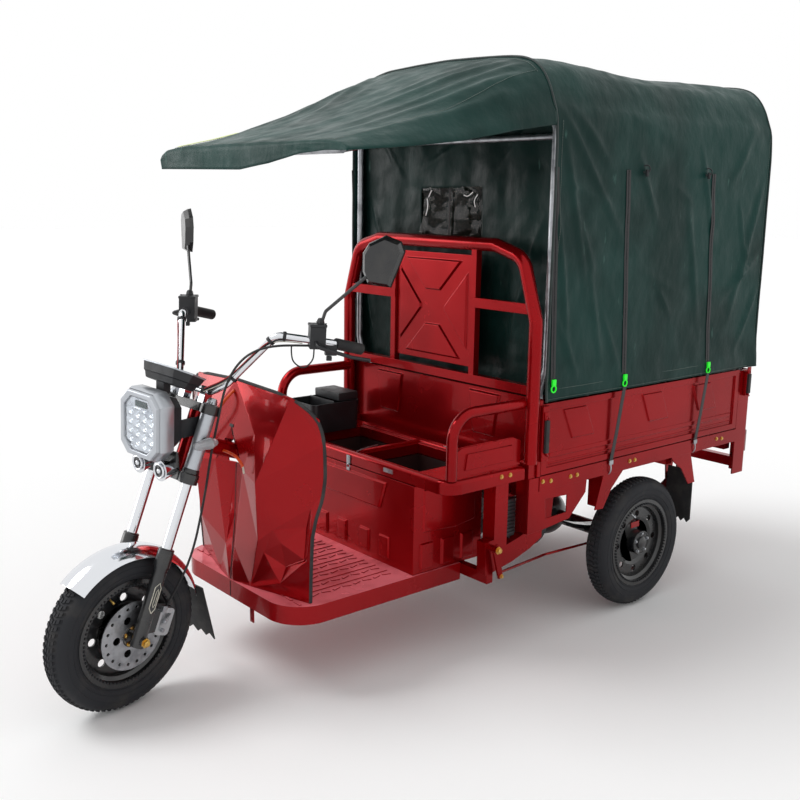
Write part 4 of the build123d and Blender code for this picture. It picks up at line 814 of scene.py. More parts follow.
# Where the awning's half sections stand, and their (y, z) points from the edge to the middle
AWNING_SECTIONS = (
    (AWNING_START, [
        (512, 1728), (512, 1760), (490, 1801), (475, 1846), (440, 1899), (384, 1936), (251, 1950), (0, 1957),
    ]),
    (800, [
        (514, 1700), (513, 1722), (488, 1764), (474, 1800), (440, 1836), (384, 1862), (251, 1874), (0, 1880),
    ]),
    (997, [
        (516, 1662), (514, 1674), (490, 1705), (475, 1728), (440, 1752), (384, 1775), (251, 1788), (0, 1795),
    ]),
    (1200, [
        (516, 1638), (514, 1646), (490, 1668), (475, 1680), (440, 1696), (384, 1706), (251, 1714), (0, 1719),
    ]),
    (AWNING_FRONT, [
        (516, 1620), (513, 1626), (490, 1636), (475, 1642), (440, 1646), (384, 1649), (251, 1651), (0, 1652),
    ]),
)
AWNING_FOLDS = (
    ((604, 455), (1250, 330), 22, 9), ((604, 400), (1180, 250), 20, 8), ((604, 350), (1010, 140), 24, 8),
    ((604, 490), (1300, 430), 16, 8), ((700, 300), (1200, 60), 26, 6), ((604, 250), (1000, 40), 24, 6),
)
VALANCE = ((-516, 1585), (-300, 1582), (-20, 1578), (140, 1594), (297, 1618), (420, 1624), (516, 1621))
AWNING_HALF_COLUMNS = 71
AWNING_STATIONS = [station for station, _ in AWNING_SECTIONS]
AWNING_LINES = [smooth_line(half, AWNING_HALF_COLUMNS) for _, half in AWNING_SECTIONS]


def awning_relief(x, y, z):
    total = 2.5 * ripple(x * 0.5, y, z, 110) + 1.2 * ripple(x * 0.6, y, z, 45)
    total += creased(x, abs(y + (0 if y > 0 else 14)), AWNING_FOLDS)
    span = (x - AWNING_START) / (AWNING_FRONT - AWNING_START)
    return total * min(1.0, span * 8 + 0.25) - 9 * math.sin(math.pi * span) * (1 - (abs(y) / 530) ** 2)


def make_awning():
    """The awning: one sheet from the hoop to the front bar, with its front edge hanging down."""
    stack = np.stack([mirrored(line) for line in AWNING_LINES])
    columns, rows, drops = stack.shape[1], 74, 8
    points = []
    for x in np.linspace(AWNING_START, AWNING_FRONT, rows):
        section = [[np.interp(x, AWNING_STATIONS, stack[:, c, k]) for k in (0, 1)] for c in range(columns)]
        for y, z in section:
            lift = awning_relief(x, y, z)
            edge = max(0.0, (abs(y) - 470) / 46)
            points.append(place(x, y + math.copysign(lift * 0.5 * edge, y), z + lift * (1 - 0.5 * edge)))
    for drop in np.linspace(0, 1, drops + 1)[1:]:
        for y, z in stack[-1]:
            hang = max(0.0, z - np.interp(y, *zip(*VALANCE)))
            wave = 5 * drop * math.sin(y / 70.0) + 3 * drop * ripple(y, 0, 300 * drop, 60)
            points.append(place(AWNING_FRONT + 4 - 4 * drop * min(1.0, hang / 50) + 0.4 * wave, y, z - hang * drop - 2))
    cloth = make_piece("awning_cloth", points, grid_faces(rows + drops, columns), CANVAS, "chassis")
    thicken(cloth)
    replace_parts(cloth, "awning")


def roof_height(y):
    """Underside of the roof line at a distance from the middle."""
    return float(np.interp(abs(y), *zip(*sorted(ROOF_LINE))))


WINDOW_Y = (-155.0, 155.0)
WINDOW_Z = (1375.0, 1535.0)
CURTAIN_CREASES = (
    ((-470, 1840), (-250, 1560), 12, 8), ((470, 1850), (230, 1600), 12, 8), ((-440, 1480), (-300, 1180), 11, 7),
    ((430, 1430), (320, 1080), 12, 8), ((180, 1330), (120, 960), 12, 7), ((-180, 1330), (-90, 980), 11, 7),
    ((60, 1700), (-160, 1600), 10, 6), ((-480, 1150), (-380, 900), 10, 7), ((480, 1180), (400, 900), 10, 7),
)


def make_curtain(name, x, low, window, seed):
    """A hanging end wall with upright folds, cut for a window where it has one."""
    half = COVER_HALF - 9
    columns, rows = 134, 112
    points = []
    ys = np.linspace(-half, half, columns)
    for row in range(rows):
        t = row / (rows - 1)
        for y in ys:
            z = low + (roof_height(y) - 12 - low) * t
            fold = 9 * math.sin(y / 52 + seed + 0.9 * ripple(y, z * 0.3, seed * 90, 160))
            out = (1 - 0.75 * t) * fold * 0.6
            out += 8 * ripple(y * 1.6, seed * 50, z * 0.45, 120) + 2.4 * ripple(y, seed, z, 42)
            out += creased(y, z, CURTAIN_CREASES)
            points.append(place(x + out * min(1.0, (half - abs(y)) / 40 + 0.15), y, z))

    def is_cloth(row, column):
        y_mid = (ys[column] + ys[column + 1]) / 2
        z_mid = (points[row * columns + column].z + points[(row + 1) * columns + column].z) / 2 / MM
        return not (window and WINDOW_Y[0] < y_mid < WINDOW_Y[1] and WINDOW_Z[0] < z_mid < WINDOW_Z[1])

    faces = grid_faces(rows, columns, keep=is_cloth)
    # the front curtain, which has the window, takes the darker canvas as painted shade
    cloth = make_piece(name + "_cloth", points, faces, SHADED_CANVAS if window else CANVAS, "chassis")
    thicken(cloth)
    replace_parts(cloth, name)


# Lines of (y, z) points for painted glints on the window film
WINDOW_GLINTS = (
    ((116, 1524), (92, 1508), (72, 1514)), ((140, 1516), (122, 1496), (130, 1474)),
    ((-118, 1500), (-112, 1470), (-124, 1440)), ((-96, 1528), (-110, 1506)),
)


def make_window(x):
    """The clear film, a little rumpled, lapped behind the cloth round it."""
    rows, columns, lap = 30, 50, 8
    points = []
    for z in np.linspace(WINDOW_Z[0] - lap, WINDOW_Z[1] + lap, rows):
        for y in np.linspace(WINDOW_Y[0] - lap, WINDOW_Y[1] + lap, columns):
            points.append(place(x - 3 + 5 * ripple(y, 20, z, 60) + 2 * ripple(y, 70, z, 24), y, z))
    film = make_piece("window_film", points, grid_faces(rows, columns), FILM, "chassis")
    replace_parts(film, "clear_pane")
    tape, glints = parts(2)
    seam = [place(x + 5 + 2 * ripple(0, 20, z, 60), 0, z) for z in np.linspace(*WINDOW_Z, 14)]
    ribbon(tape, seam, (0, 4, 0), (1, 0, 0))
    # glowing pale rods on the film: painted glints
    for spots in WINDOW_GLINTS:
        rod(glints, [place(x + 6, y, z) for y, z in spots], 1.6, 6, 3)
    gather_all("chassis", window_seam=(tape, STRAP), window_creases=(glints, PAINTED_GLINT_PLASTIC))


# Tyres
TREAD_DEPTH = 4.5
REAR_PITCHES = 78
FRONT_PITCHES = 74
TYRE_EDGE = 40
TYRE_PROFILE = [
    (33, 153), (35, 166), (43, 178), (46, 200), (44.5, 216), (40, 229), (34, 235.5), (26, 240), (13, 243.8), (0, 245),
]


def crown_height(across):
    """Outer radius of the tyre at a distance from its middle, at the tops of the blocks."""
    return float(np.interp(abs(across), *zip(*TYRE_PROFILE[::-1])))


def tread_pitch(outlines):
    """One pitch of raised blocks: polygons of (across, round) in millimetres, standing on the carcass."""
    points, faces = [], []
    for outline in outlines:
        base, count = len(points), len(outline)
        middle = np.mean(np.array(outline), axis=0)
        for inset, depth in ((0.0, -TREAD_DEPTH - 1), (0.0, -0.8), (0.12, 0.0)):
            for across, around in outline:
                a = across + (middle[0] - across) * inset
                turn = (around + (middle[1] - around) * inset) / WHEEL_Z
                radius = (crown_height(a) + depth) * MM
                points.append((radius * math.sin(turn), a * MM, radius * math.cos(turn)))
        for start in (base, base + count):
            faces += [
                (start + k, start + (k + 1) % count, start + (k + 1) % count + count, start + k + count)
                for k in range(count)
            ]
        faces.append(tuple(base + 2 * count + k for k in range(count)))
    return mesh_of("tread_pitch", points, faces)


FRONT_PITCH = (
    [(-10, 2), (-2, 6), (-2, 17), (-10, 13)], [(2, 6), (10, 2), (10, 13), (2, 17)],
    [(-22, -4), (-13, 1), (-13, 12), (-22, 8)], [(13, 1), (22, -4), (22, 8), (13, 12)],
    [(-34, -10), (-25, -5), (-25, 6), (-34, 2)], [(25, -5), (34, -10), (34, 2), (25, 6)],
    [(-41, -12), (-37, -11), (-37, -1), (-41, -3)], [(37, -11), (41, -12), (41, -3), (37, -1)],
)
REAR_PITCH = (
    [(-8, 0), (8, 4), (8, 14), (-8, 10)],
    [(-22, 2), (-11, -1), (-11, 10), (-22, 13)], [(11, 6), (22, 3), (22, 13), (11, 16)],
    [(-34, 4), (-25, 2), (-25, 13), (-34, 15)], [(25, 3), (34, 5), (34, 15), (25, 13)],
    [(-42, 6), (-37, 5), (-37, 14), (-42, 15)], [(37, 5), (42, 6), (42, 15), (37, 14)],
)


def carcass_mesh():
    """The tyre without its blocks: a sunken crown and three moulded ribs on each wall."""
    profile = TYRE_PROFILE[:5] + [(a, r - TREAD_DEPTH * min(1, (45 - a) / 6)) for a, r in TYRE_PROFILE[5:]]
    sections = [mirrored(smooth_line(profile, 24, 1)).tolist()]
    segments = 96
    for radius, out in ((186, 1.2), (172, 1.6), (206, 0.8)):
        edge = float(np.interp(radius, [166, 178, 200, 216], [35, 43, 46, 44.5]))
        for side in SIDES:
            rib = [(-0.8, -1.6), (out, -0.6), (out, 0.6), (-0.8, 1.6)]
            sections.append([(side * (edge + across), radius + up) for across, up in rib])
    points, faces = [], []
    for section in sections:
        start = len(points)
        for k in range(segments):
            angle = 2 * math.pi * k / segments
            points += [(r * MM * math.sin(angle), a * MM, r * MM * math.cos(angle)) for a, r in section]
        faces += [[start + corner for corner in quad] for quad in grid_faces(segments, len(section), closed=True)]
    return mesh_of("carcass", points, faces)


def make_tyre(node, body, axle, pitch, count):
    """Carcass and blocks, made round the origin and then set on the wheel's axle."""
    blocks = grow(node + "_blocks", RING, tread_pitch(pitch), Count=count, Material=RUBBER)
    work = bmesh.new()
    work.from_mesh(blocks.data)
    work.from_mesh(carcass_mesh())
    bpy.data.objects.remove(blocks)
    bmesh.ops.remove_doubles(work, verts=work.verts, dist=1e-6)
    bmesh.ops.transform(work, matrix=axle, verts=work.verts)
    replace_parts(gather(node + "_treaded", work, RUBBER, body, sharp=TYRE_EDGE), node)


def make_tyres():
    for side, word in ((1, "left"), (-1, "right")):
        axle = Matrix.Translation(place(0, side * HALF_TRACK, WHEEL_Z))
        make_tyre("rear_tyre_" + word, "rear_wheel_" + word, axle, REAR_PITCH, REAR_PITCHES)
    axle = STEER_TURN @ Matrix.Translation(place(WHEELBASE, 0, WHEEL_Z))
    make_tyre("front_tyre", "front_wheel", axle, FRONT_PITCH, FRONT_PITCHES)


# Cover fittings, which lie on the cloth's own surface
ZIPS = (((238, 1603), (200, 902)), ((-263, 1603), (-309, 898)), ((600, 1602), (573, 922)))
STRAP_FEET = (235, -279)


def wall_point(side, x, z, out=0.0):
    """A point on the cover's side, standing off it by out."""
    hem = hem_wave(x) * (1 - (z - HEM_Z) / HEM_BAND) if z < HEM_Z + HEM_BAND else 0.0
    return place(x, side * (COVER_HALF + cover_relief(x, side * COVER_HALF, z) + hem + out), z)


def zip_pull(work, foot, size, axis):
    block(work, foot, size, edge=1.6)
    hoop(work, foot - UP * 21 * MM, axis, 11, 2.6)


def make_cover_fittings():
    tapes, pulls, straps, hooks, loops = parts(5)
    teeth, stitches = [], []
    for side in SIDES:
        for (top_x, top_z), (low_x, low_z) in ZIPS:
            path = [(top_x + (low_x - top_x) * k / 44, top_z + (low_z - top_z) * k / 44) for k in range(45)]
            ribbon(tapes, [wall_point(side, x, z, 1.0) for x, z in path], (11, 0, 0), (0, side * 1.6, 0))
            teeth.append([wall_point(side, x, z, 3.0) for x, z in path])
            zip_pull(pulls, wall_point(side, low_x, low_z, 7.0), (17, 7, 20), (0, 1, 0))
        for (_, (low_x, low_z)), foot_x in zip(ZIPS, STRAP_FEET):
            top = wall_point(side, low_x, low_z - 34, 6.0)
            middle = wall_point(side, low_x + (foot_x - low_x) * 0.2, 866, 7.0)
            bottom = place(foot_x, side * 504.5, 604)
            ribbon(straps, [top, middle, top.lerp(bottom, 0.6), bottom], (9, 0, 0), (0, side * 1.4, 0))
            block(hooks, place(foot_x, side * 506, 598), (22, 4, 16), edge=1.2)
            hook = ((505, 592), (508, 574), (504, 560), (495, 553))
            rod(hooks, [place(foot_x, side * y, z) for y, z in hook], 2.6)
        for x in (157, -209):
            high = wall_point(side, x, 1608, 5)
            hoop(loops, high, (1, 0.4, 0), 13, 2.0)
            turned(loops, [(0, 3), (1, 6), (22, 6), (23, 3)], high + Vector((0, side * 0.004, -0.024)), UP, 12)
        for z in (HEM_Z + 7, HEM_Z + 38):
            stitches.append([wall_point(side, x, z, 0.9) for x in np.linspace(COVER_X[0] + 8, COVER_X[1] - 8, 60)])
        for x in (COVER_X[0] + 16, COVER_X[1] - 26):
            stitches.append([wall_point(side, x, z, 0.9) for z in np.linspace(HEM_Z + 40, 1740, 60)])
    gather_all(
        "chassis", zip_tapes=(tapes, STRAP), zip_pulls=(pulls, PULL_PAINTED_GLOW), strap_hooks=(hooks, ZINC),
        cover_toggles=(loops, PLASTIC),
    )
    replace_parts(gather("tie_down_straps", straps, STRAP, "chassis"), "cover_straps")
    beads("zip_teeth", teeth, *ZIP_TEETH)
    beads("cover_stitches", stitches, *STITCHES)


def make_rear_fittings():
    """Two zips, a seam and a row of eyelets on the rear curtain."""
    (tapes, rings, pulls), teeth = parts(3), []
    back = COVER_X[0] - 9
    for y in (-330, 330):
        line = [place(back - 3, y, z) for z in np.linspace(890, 1790, 30)]
        ribbon(tapes, line, (0, 11, 0), (-1.4, 0, 0))
        teeth.append([point - Vector((0.003, 0, 0)) for point in line])
        zip_pull(pulls, place(back - 6, y, 884), (7, 17, 20), (1, 0, 0))
    for y in (-400, -200, -100, 0, 100, 200, 400):
        hoop(rings, place(back - 3, y, HEM_Z + 22), (1, 0, 0), 9, 2.2)
    stitches = [[place(back - 3, y, HEM_Z + up) for y in (-490, 490)] for up in (8, 40)]
    gather_all("chassis", rear_zip_tapes=(tapes, STRAP), rear_eyelets=(rings, ZINC), rear_zip_pulls=(pulls, PULL_PAINTED_GLOW))
    beads("rear_zip_teeth", teeth, *ZIP_TEETH)
    beads("rear_stitches", stitches, *STITCHES)


def awning_point(x, y, out):
    """A point on the awning's top, standing off it by out."""
    heights = [float(np.interp(abs(y), line[::-1, 0], line[::-1, 1])) for line in AWNING_LINES]
    z = float(np.interp(x, AWNING_STATIONS, heights))
    return place(x, y, z + awning_relief(x, y, z) + out)


def make_awning_fittings():
    """The reflective strip on its right side, and stitching along its edges."""
    strip, stitches = bmesh.new(), []
    ribbon(strip, [awning_point(x, -400, 2.4) for x in np.linspace(1183, 1404, 24)], (0, 13, 0), (0, 0, 1.2))
    for x in (AWNING_START + 22, AWNING_FRONT - 14):
        stitches.append([awning_point(x, y, 1.4) for y in np.linspace(-440, 440, 50)])
    for y in (436, -436):
        stitches.append([awning_point(x, y, 1.4) for x in np.linspace(AWNING_START + 30, AWNING_FRONT - 20, 50)])
    # the strip glows a little: painted reflection
    gather("reflective_tape_painted_glow", strip, STRIP_PAINTED_GLOW, "chassis")
    beads("awning_stitches", stitches, *STITCHES)


def make_bindings():
    """Piping along the front hoop and the rear edge."""
    work = bmesh.new()
    for x, radius in ((COVER_X[1] - 1, 4.2), (COVER_X[0] + 3, 3.4)):
        rod(work, [
            wall_point(1 if y > 0 else -1, x, z, 1.5) if z < ROOF_Z else place(x, y, z + 2 + cover_relief(x, y, z))
            for y, z in COVER_SECTION[::3]
        ], radius, 8, 1)
    gather("cover_piping", work, CANVAS_EDGE, "chassis")


# Headlamp, horns and indicators
LAMP_LENS = ((67, 812), (67, 907), (37, 937), (-37, 937), (-67, 907), (-67, 812), (-37, 782), (37, 782))
CELL_WIDTH = 31
CELL_HEIGHT = 27
CELLS_Z = (792, 905)
HORN_Y = 50
INDICATOR_Z = 808


def make_lamp():
    """Rows of reflector cells under a clear cover, a display above them, and the lamp's silver shell."""
    points, columns, rows = [], 90, 104
    ys, zs = np.linspace(-66, 66, columns), np.linspace(783, 936, rows)
    for z in zs:
        for y in ys:
            u, v = ((y + 62) / CELL_WIDTH) % 1 - 0.5, ((z - 793 + 0.22 * y) / CELL_HEIGHT) % 1 - 0.5
            cell = math.hypot(u, v * 1.15)
            dish = 6.5 * min(1.0, (cell / 0.5) ** 2.2)
            bulb = 3.6 * max(0.0, 1 - (cell / 0.15) ** 2)
            deep = dish + bulb if CELLS_Z[0] < z < CELLS_Z[1] else 6.0
            points.append(steered(1780.8 + deep, y, z))

    def inside_lens(row, column):
        y, z = abs(ys[column]), zs[row]
        return y < 67 and 782 < z < 937 and y + abs(z - 859.5) < 114.5

    make_piece("lamp_reflectors", points, grid_faces(rows, columns, keep=inside_lens), REFLECTOR, "steering")
    cover, display, shell = parts(3)
    slab(cover, [steered(1789.5, y, z) for y, z in LAMP_LENS], AHEAD, 1.8)
    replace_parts(gather("lamp_cover", cover, LAMP_GLASS, "steering"), "headlamp_lens")
    corners = ((-20, 912), (34, 912), (30, 929), (-20, 929))
    slab(display, [steered(1788.4, y, z) for y, z in corners], AHEAD, 0.8)
    rings = []
    for x, out in ((1735, -1.5), (1739, 1.2), (1776, 1.6), (1784, -2)):
        wide, cut, low, high = 88 + out, 34 + out * 0.4, 760 - out, 959 + out
        outline = (
            (wide, low + cut), (wide, high - cut), (wide - cut, high), (cut - wide, high),
            (-wide, high - cut), (-wide, low + cut), (cut - wide, low), (wide - cut, low),
        )
        rings.append([shell.verts.new(steered(x, y, z)) for y, z in outline])
    skin(shell, rings, capped=False)
    gather_all("steering", lamp_display=(display, DISPLAY), lamp_shell=(shell, SILVER))


def make_horns():
    rims, faces, plate = parts(3)
    for side in SIDES:
        mouth = steered(1756.5, side * HORN_Y, 728)
        turned(faces, [(-30, 14), (-8, 20), (2.6, 20)], mouth, AHEAD, 28)
        hoop(rims, mouth + AHEAD * 0.003, AHEAD, 20, 3.0, 32)
        turned(rims, [(2.2, 8), (6, 6.5), (7.5, 3)], mouth, AHEAD, 18)
        for radius in (10, 13, 16):
            hoop(faces, mouth + AHEAD * 0.0028, AHEAD, radius, 0.9, 28)
    block(plate, steered(1712, 0, 752), (10, 150, 46), AHEAD, edge=3)
    gather_all("steering", horn_rims=(rims, CHROME), horn_faces=(faces, GLOSS_BLACK), horn_plate=(plate, GLOSS_BLACK))


def make_indicator_details():
    bushes, ribs = parts(2)
    bush = [(0, 9), (3, 12), (9, 12), (11, 9), (16, 9), (18, 11), (22, 10)]
    for side in SIDES:
        turned(bushes, bush, steered(1640, side * 104, INDICATOR_Z), steered_way((0, side, 0)), 18)
        for k in range(14):
            turn = 2 * math.pi * k / 14
            rod(ribs, [
                steered(1640 + d, side * 132 + radius * math.cos(turn), INDICATOR_Z + radius * math.sin(turn))
                for d, radius in ((4, 16.7), (46, 12.5))
            ], 0.9, 6, 0)
        turned(ribs, [(0, 11.5), (3, 10), (5, 6)], steered(1692, side * 132, INDICATOR_Z), AHEAD, 18)
    gather_all("steering", indicator_bushes=(bushes, SOFT_RUBBER), indicator_ribs=(ribs, CLEAR_LENS))


# Fork, bar and dash
LEG_RADIUS = 21.4


def make_fork_details():
    black, pale, zinc, gold = parts(4)
    up, left, ahead = (on_fork(*way) - on_fork(0, 0, 0) for way in ((0, 0, 1), (0, 1, 0), (1, 0, 0)))
    collars = (
        (468, [(0, 21), (3, 28.6), (30, 28.6), (34, 23.5)]), (498, [(0, 23.2), (4, 25), (12, 25), (16, 23)]),
        (678, [(0, 22.8), (3, 28.6), (28, 28.6), (32, 22)]), (256, [(0, 16), (4, 23), (14, 23.6), (17, 20)]),
    )
    outline = ((0, 84), (9, 98), (9, 160), (0, 174), (-9, 160), (-9, 98), (0, 84))
    for side in SIDES:
        for z, profile in collars:
            turned(black, profile, on_fork(0, side * LEG_Y, z), up, 28)
        turned(zinc, [(0, 14), (6, 13), (8, 9)], on_fork(0, side * LEG_Y, 720), up, 6)
        # a pale outline round the swell of the leg, and a smaller one in it
        rod(pale, [
            on_fork(x + 4, side * (LEG_Y + math.sqrt(LEG_RADIUS ** 2 - (x + 4) ** 2)), z) for x, z in outline
        ], 1.3, 6, 0)
        rod(pale, [on_fork(x * 0.45 + 4, side * 105.2, 129 + (z - 129) * 0.6) for x, z in outline], 0.9, 6, 0)
        nut = [(0, 15), (2.5, 15), (2.6, 10.5), (11, 10.5), (13, 8)]
        turned(gold, nut, on_fork(0, side * 114.6, 0), left * side, 6)
    for z in (26, 52):
        turned(zinc, [(0, 8), (2, 8), (2.1, 6), (7, 6), (8, 4)], on_fork(-86, 73, z), left, 6)
    block(zinc, on_fork(-86, 67, 52), (40, 12, 62), ahead, up, 4)
    block(zinc, on_fork(-70, 74, 90), (18, 10, 20), ahead, up, 3)
    gather_all("steering", fork_collars=(black, GLOSS_BLACK), fork_hardware=(zinc, ZINC), axle_nuts=(gold, GOLD))
    gather("leg_outlines", pale, PALE, "steering")


CABLE_DIAMETER = 0.007
CABLE_ROUTE = (
    (1738, 60, 304), (1718, 76, 352), (1696, 98, 420), (1672, 108, 500), (1650, 106, 582), (1628, 101, 660),
    (1614, 99, 738), (1604, 106, 815), (1594, 114, 885), (1583, 118, 948), (1569, 132, 1004),
    (1552, 160, 1052), (1526, 194, 1082), (1488, 225, 1094), (1445.2, 253.2, 1096), (1407.4, 282.8, 1096),
)
LEVER_LOOP = (
    (1404, 300, 1100), (1406, 303, 1080), (1412, 306, 1056), (1430, 288, 1030), (1448, 262, 1046), (1446, 250, 1072),
    (1444, 248, 1094),
)
LEVER_LOOP_DIAMETER = 0.0044


def make_cord(name, points, diameter, material, body, stands_for=None):
    """A cord on one smooth open line."""
    line = bpy.data.curves.new(name, "CURVE")
    line.dimensions = "3D"
    spline = line.splines.new("NURBS")
    spline.points.add(len(points) - 1)
    for spot, point in zip(spline.points, points):
        spot.co = (*point, 1)
    spline.order_u = 3
    spline.use_endpoint_u = True
    made = link(bpy.data.objects.new(name, line))
    run = bpy.data.meshes.new_from_object(made)
    bpy.data.meshes.remove(run)
    line.bevel_depth = diameter / 2
    line.bevel_resolution = 4
    line.use_fill_caps = True
    line.materials.append(material)
    attach(made, body)
    if stands_for:
        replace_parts(made, stands_for)


# The bar's middle, bend and end, where ties hold its wires, and the wires' run beside it
BAR_BENDS = ((1562, 108, 968), (1473, 214, 1122), (1358, 318.5, 1106))
WIRE_RUN = (
    (1600, 70, 950), (1556, 122, 984), (1520, 166, 1046), (1482, 218, 1110), (1440, 246, 1112), (1408, 276, 1108),
)
MIRROR_OUTLINE = ((-60, 20), (-44, 49), (2, 74), (46, 60), (58, 34), (44, -8), (24, -68), (-42, -62), (-58, -30))
MIRROR_TOE = math.radians(30)
LEVER_TURN = math.radians(38)


def make_bar_details():
    ties, caps, glass, switches, grey, red, yellow = parts(7)
    for side, word in ((1, "left"), (-1, "right")):
        low, bend, end = (steered(x, side * y, z) for x, y, z in BAR_BENDS)
        for start, stop, share in ((low, bend, 0.1), (low, bend, 0.86), (bend, end, 0.12)):
            turned(ties, [(0, 12.2), (1, 14.2), (9, 14.2), (10, 12.2)], start.lerp(stop, share), stop - start, 18)
        for work, shift, size in ((grey, 0, 2.4), (red, 5, 1.5), (yellow, -5, 1.5)):
            rod(work, [steered(x + 10, side * (y - 8 + 0.3 * shift), z + shift - 2) for x, y, z in WIRE_RUN], size, 6)
        loop = [steered(x, side * y, z) for x, y, z in LEVER_LOOP]
        make_cord("lever_loop_" + word, loop, LEVER_LOOP_DIAMETER, SOFT_RUBBER, "steering")
        across = steered_way((math.cos(LEVER_TURN), -side * math.sin(LEVER_TURN), 0))
        block(caps, steered(1385, side * 292, 1156), (50, 56, 8), across, edge=2.5)
        for a, b in ((16, 18), (-16, 18), (16, -18), (-16, -18)):
            turned(caps, [(0, 3.4), (1.6, 3.4), (2.2, 2.4)], steered(1385 + a, side * 292 + b, 1160), UP, 10)
        turned(caps, [(0, 11), (3, 13), (18, 11), (24, 7)], steered(1376, side * 296, 1152), UP, 6)
        block(switches, steered(1350, side * 316, 1082), (34, 30, 30), across, edge=4)
        block(switches, steered(1362, side * 322, 1060), (16, 12, 14), across, edge=3)
        face_way = Vector((-math.cos(MIRROR_TOE), -side * math.sin(MIRROR_TOE), 0))
        out_way = Vector((-math.sin(MIRROR_TOE), side * math.cos(MIRROR_TOE), 0))
        middle = Vector((1278, side * 436, 1349)) + face_way * 12.1
        pane = [steered(*(middle + (out_way * out + UP * high) * 0.93)) for out, high in MIRROR_OUTLINE]
        slab(glass, pane[::side], steered_way(face_way), 0.9)
    make_cord(
        "front_brake_cable", [steered(*point) for point in CABLE_ROUTE], CABLE_DIAMETER, SOFT_RUBBER, "steering",
        stands_for="brake_cable",
    )
    gather_all(
        "steering", bar_ties=(ties, PLASTIC), lever_caps=(caps, PLASTIC), bar_switches=(switches, PLASTIC),
        mirror_panes=(glass, MIRROR_GLASS), bar_wire_grey=(grey, SOFT_RUBBER), bar_wire_red=(red, RED_WIRE),
        bar_wire_yellow=(yellow, PALE),
    )


def make_dash_details():
    """A silver rim round the top of the dash, its glass, and ribs under it."""
    up = Vector((-0.45, 0, 1)).normalized()
    forward = Vector((0, 1, 0)).cross(up)

    def on_dash(y, ahead, high):
        return steered(*(Vector((1670, y, 1004)) + forward * ahead + up * high))

    outline = (
        (0, -62), (-70, -58), (-108, -20), (-96, 40), (-60, 52), (60, 52), (96, 40), (108, -20), (70, -58), (0, -62),
    )
    rim, glass, ribs = parts(3)
    rod(rim, [on_dash(y, -a, 1.0) for y, a in outline], 2.6, 8, 0)
    slab(glass, [on_dash(y * 0.86, -a * 0.84, 0.4) for y, a in outline[:-1]], steered_way(up), 1.2)
    for k in range(7):
        rod(ribs, [on_dash(y, 57 - 0.45 * (8 + 5 * k), -8 - 5 * k) for y in (-66 + 4 * k, 66 - 4 * k)], 1.3, 6, 0)
    gather_all("steering", dash_rim=(rim, SILVER), dash_glass=(glass, DISPLAY), dash_ribs=(ribs, PLASTIC))


# Shield, foot well and seat
SHIELD_EDGE = (
    (1446, 0, 949), (1426, 270, 932), (1396, 362, 880), (1389, 380, 809), (1372, 360, 665), (1396, 330, 545),
    (1400, 328, 437), (1396, 318, 312),
)
LOOM = (
    (1450, -6, 914), (1478, -10, 890), (1494, -40, 842), (1503, -104, 780), (1506, -150, 732), (1507, -128, 706),
    (1509, -60, 728), (1509, 0, 738), (1507, 64, 738), (1504, 108, 728), (1501, 122, 706),
)
LOOM_DIAMETER = 0.0092


def make_shield_trim():
    edge, seam, bracket, tip = parts(4)
    for side in SIDES:
        rod(edge, [place(x - 2.5, side * y, z) for x, y, z in SHIELD_EDGE], 5.2, 8, 1)
    rod(seam, [place(x, 0, z) for x, z in ((1464.6, 800), (1464.4, 792), (1458, 762))], 1.4, 6, 0)
    rod(seam, [place(x + 0.6, 0, z) for x, z in ((1450, 684), (1458, 513), (1476, 345), (1478, 310))], 1.6, 6, 0)
    rod(seam, [place(1480.4, 0, z) for z in (303, 254)], 1.3, 6, 0)
    block(seam, place(1464, 0, 806), (3, 22, 10))
    block(bracket, place(1474, 118, 226), (4, 20, 46))
    block(bracket, place(1466, 118, 247), (18, 20, 4))
    turned(bracket, [(0, 6), (1.2, 6), (1.8, 5)], place(1476, 118, 214), (1, 0, 0), 14)
    rod(tip, [place(1501, 122, 708), place(1500, 124, 698), place(1499, 125, 686)], 3.2, 8, 1)
    plug = gather("loom_tip", tip, PALE, "chassis")
    route = [place(*point) for point in LOOM]
    make_cord("wiring_loom", route, LOOM_DIAMETER, ORANGE, "chassis")
    gather_all(
        "chassis", shield_edge_trim=(edge, SOFT_RUBBER), shield_seam=(seam, PLASTIC), pan_bracket=(bracket, PAINT),
    )


def make_floor_tread():
    """Raised bars pressed in the floor between its ribs, set in turned pairs."""
    bars = bmesh.new()
    for rib in range(-270, 271, 60):
        for k in range(9):
            block(bars, place(1062 + 40 * k, rib, 309), (30, 9, 4), (1, 0.32 if k % 2 else -0.32, 0), edge=1.6)
    for k in range(14):
        block(bars, place(1424, -292 + 45 * k, 309), (8, 34, 4), edge=1.6)
    gather("floor_tread_bars", bars, PAN_PAINT, "chassis")


# The two open bins of the seat box, inside their walls
BIN_X = (716.5, 963.5)
BIN_Y = (23.5, 313.5)
BIN_Z = (316, 604)
# Thickness of the dark brown sheets that paint the shade inside the bins
SHADE_SHEET = 1.6


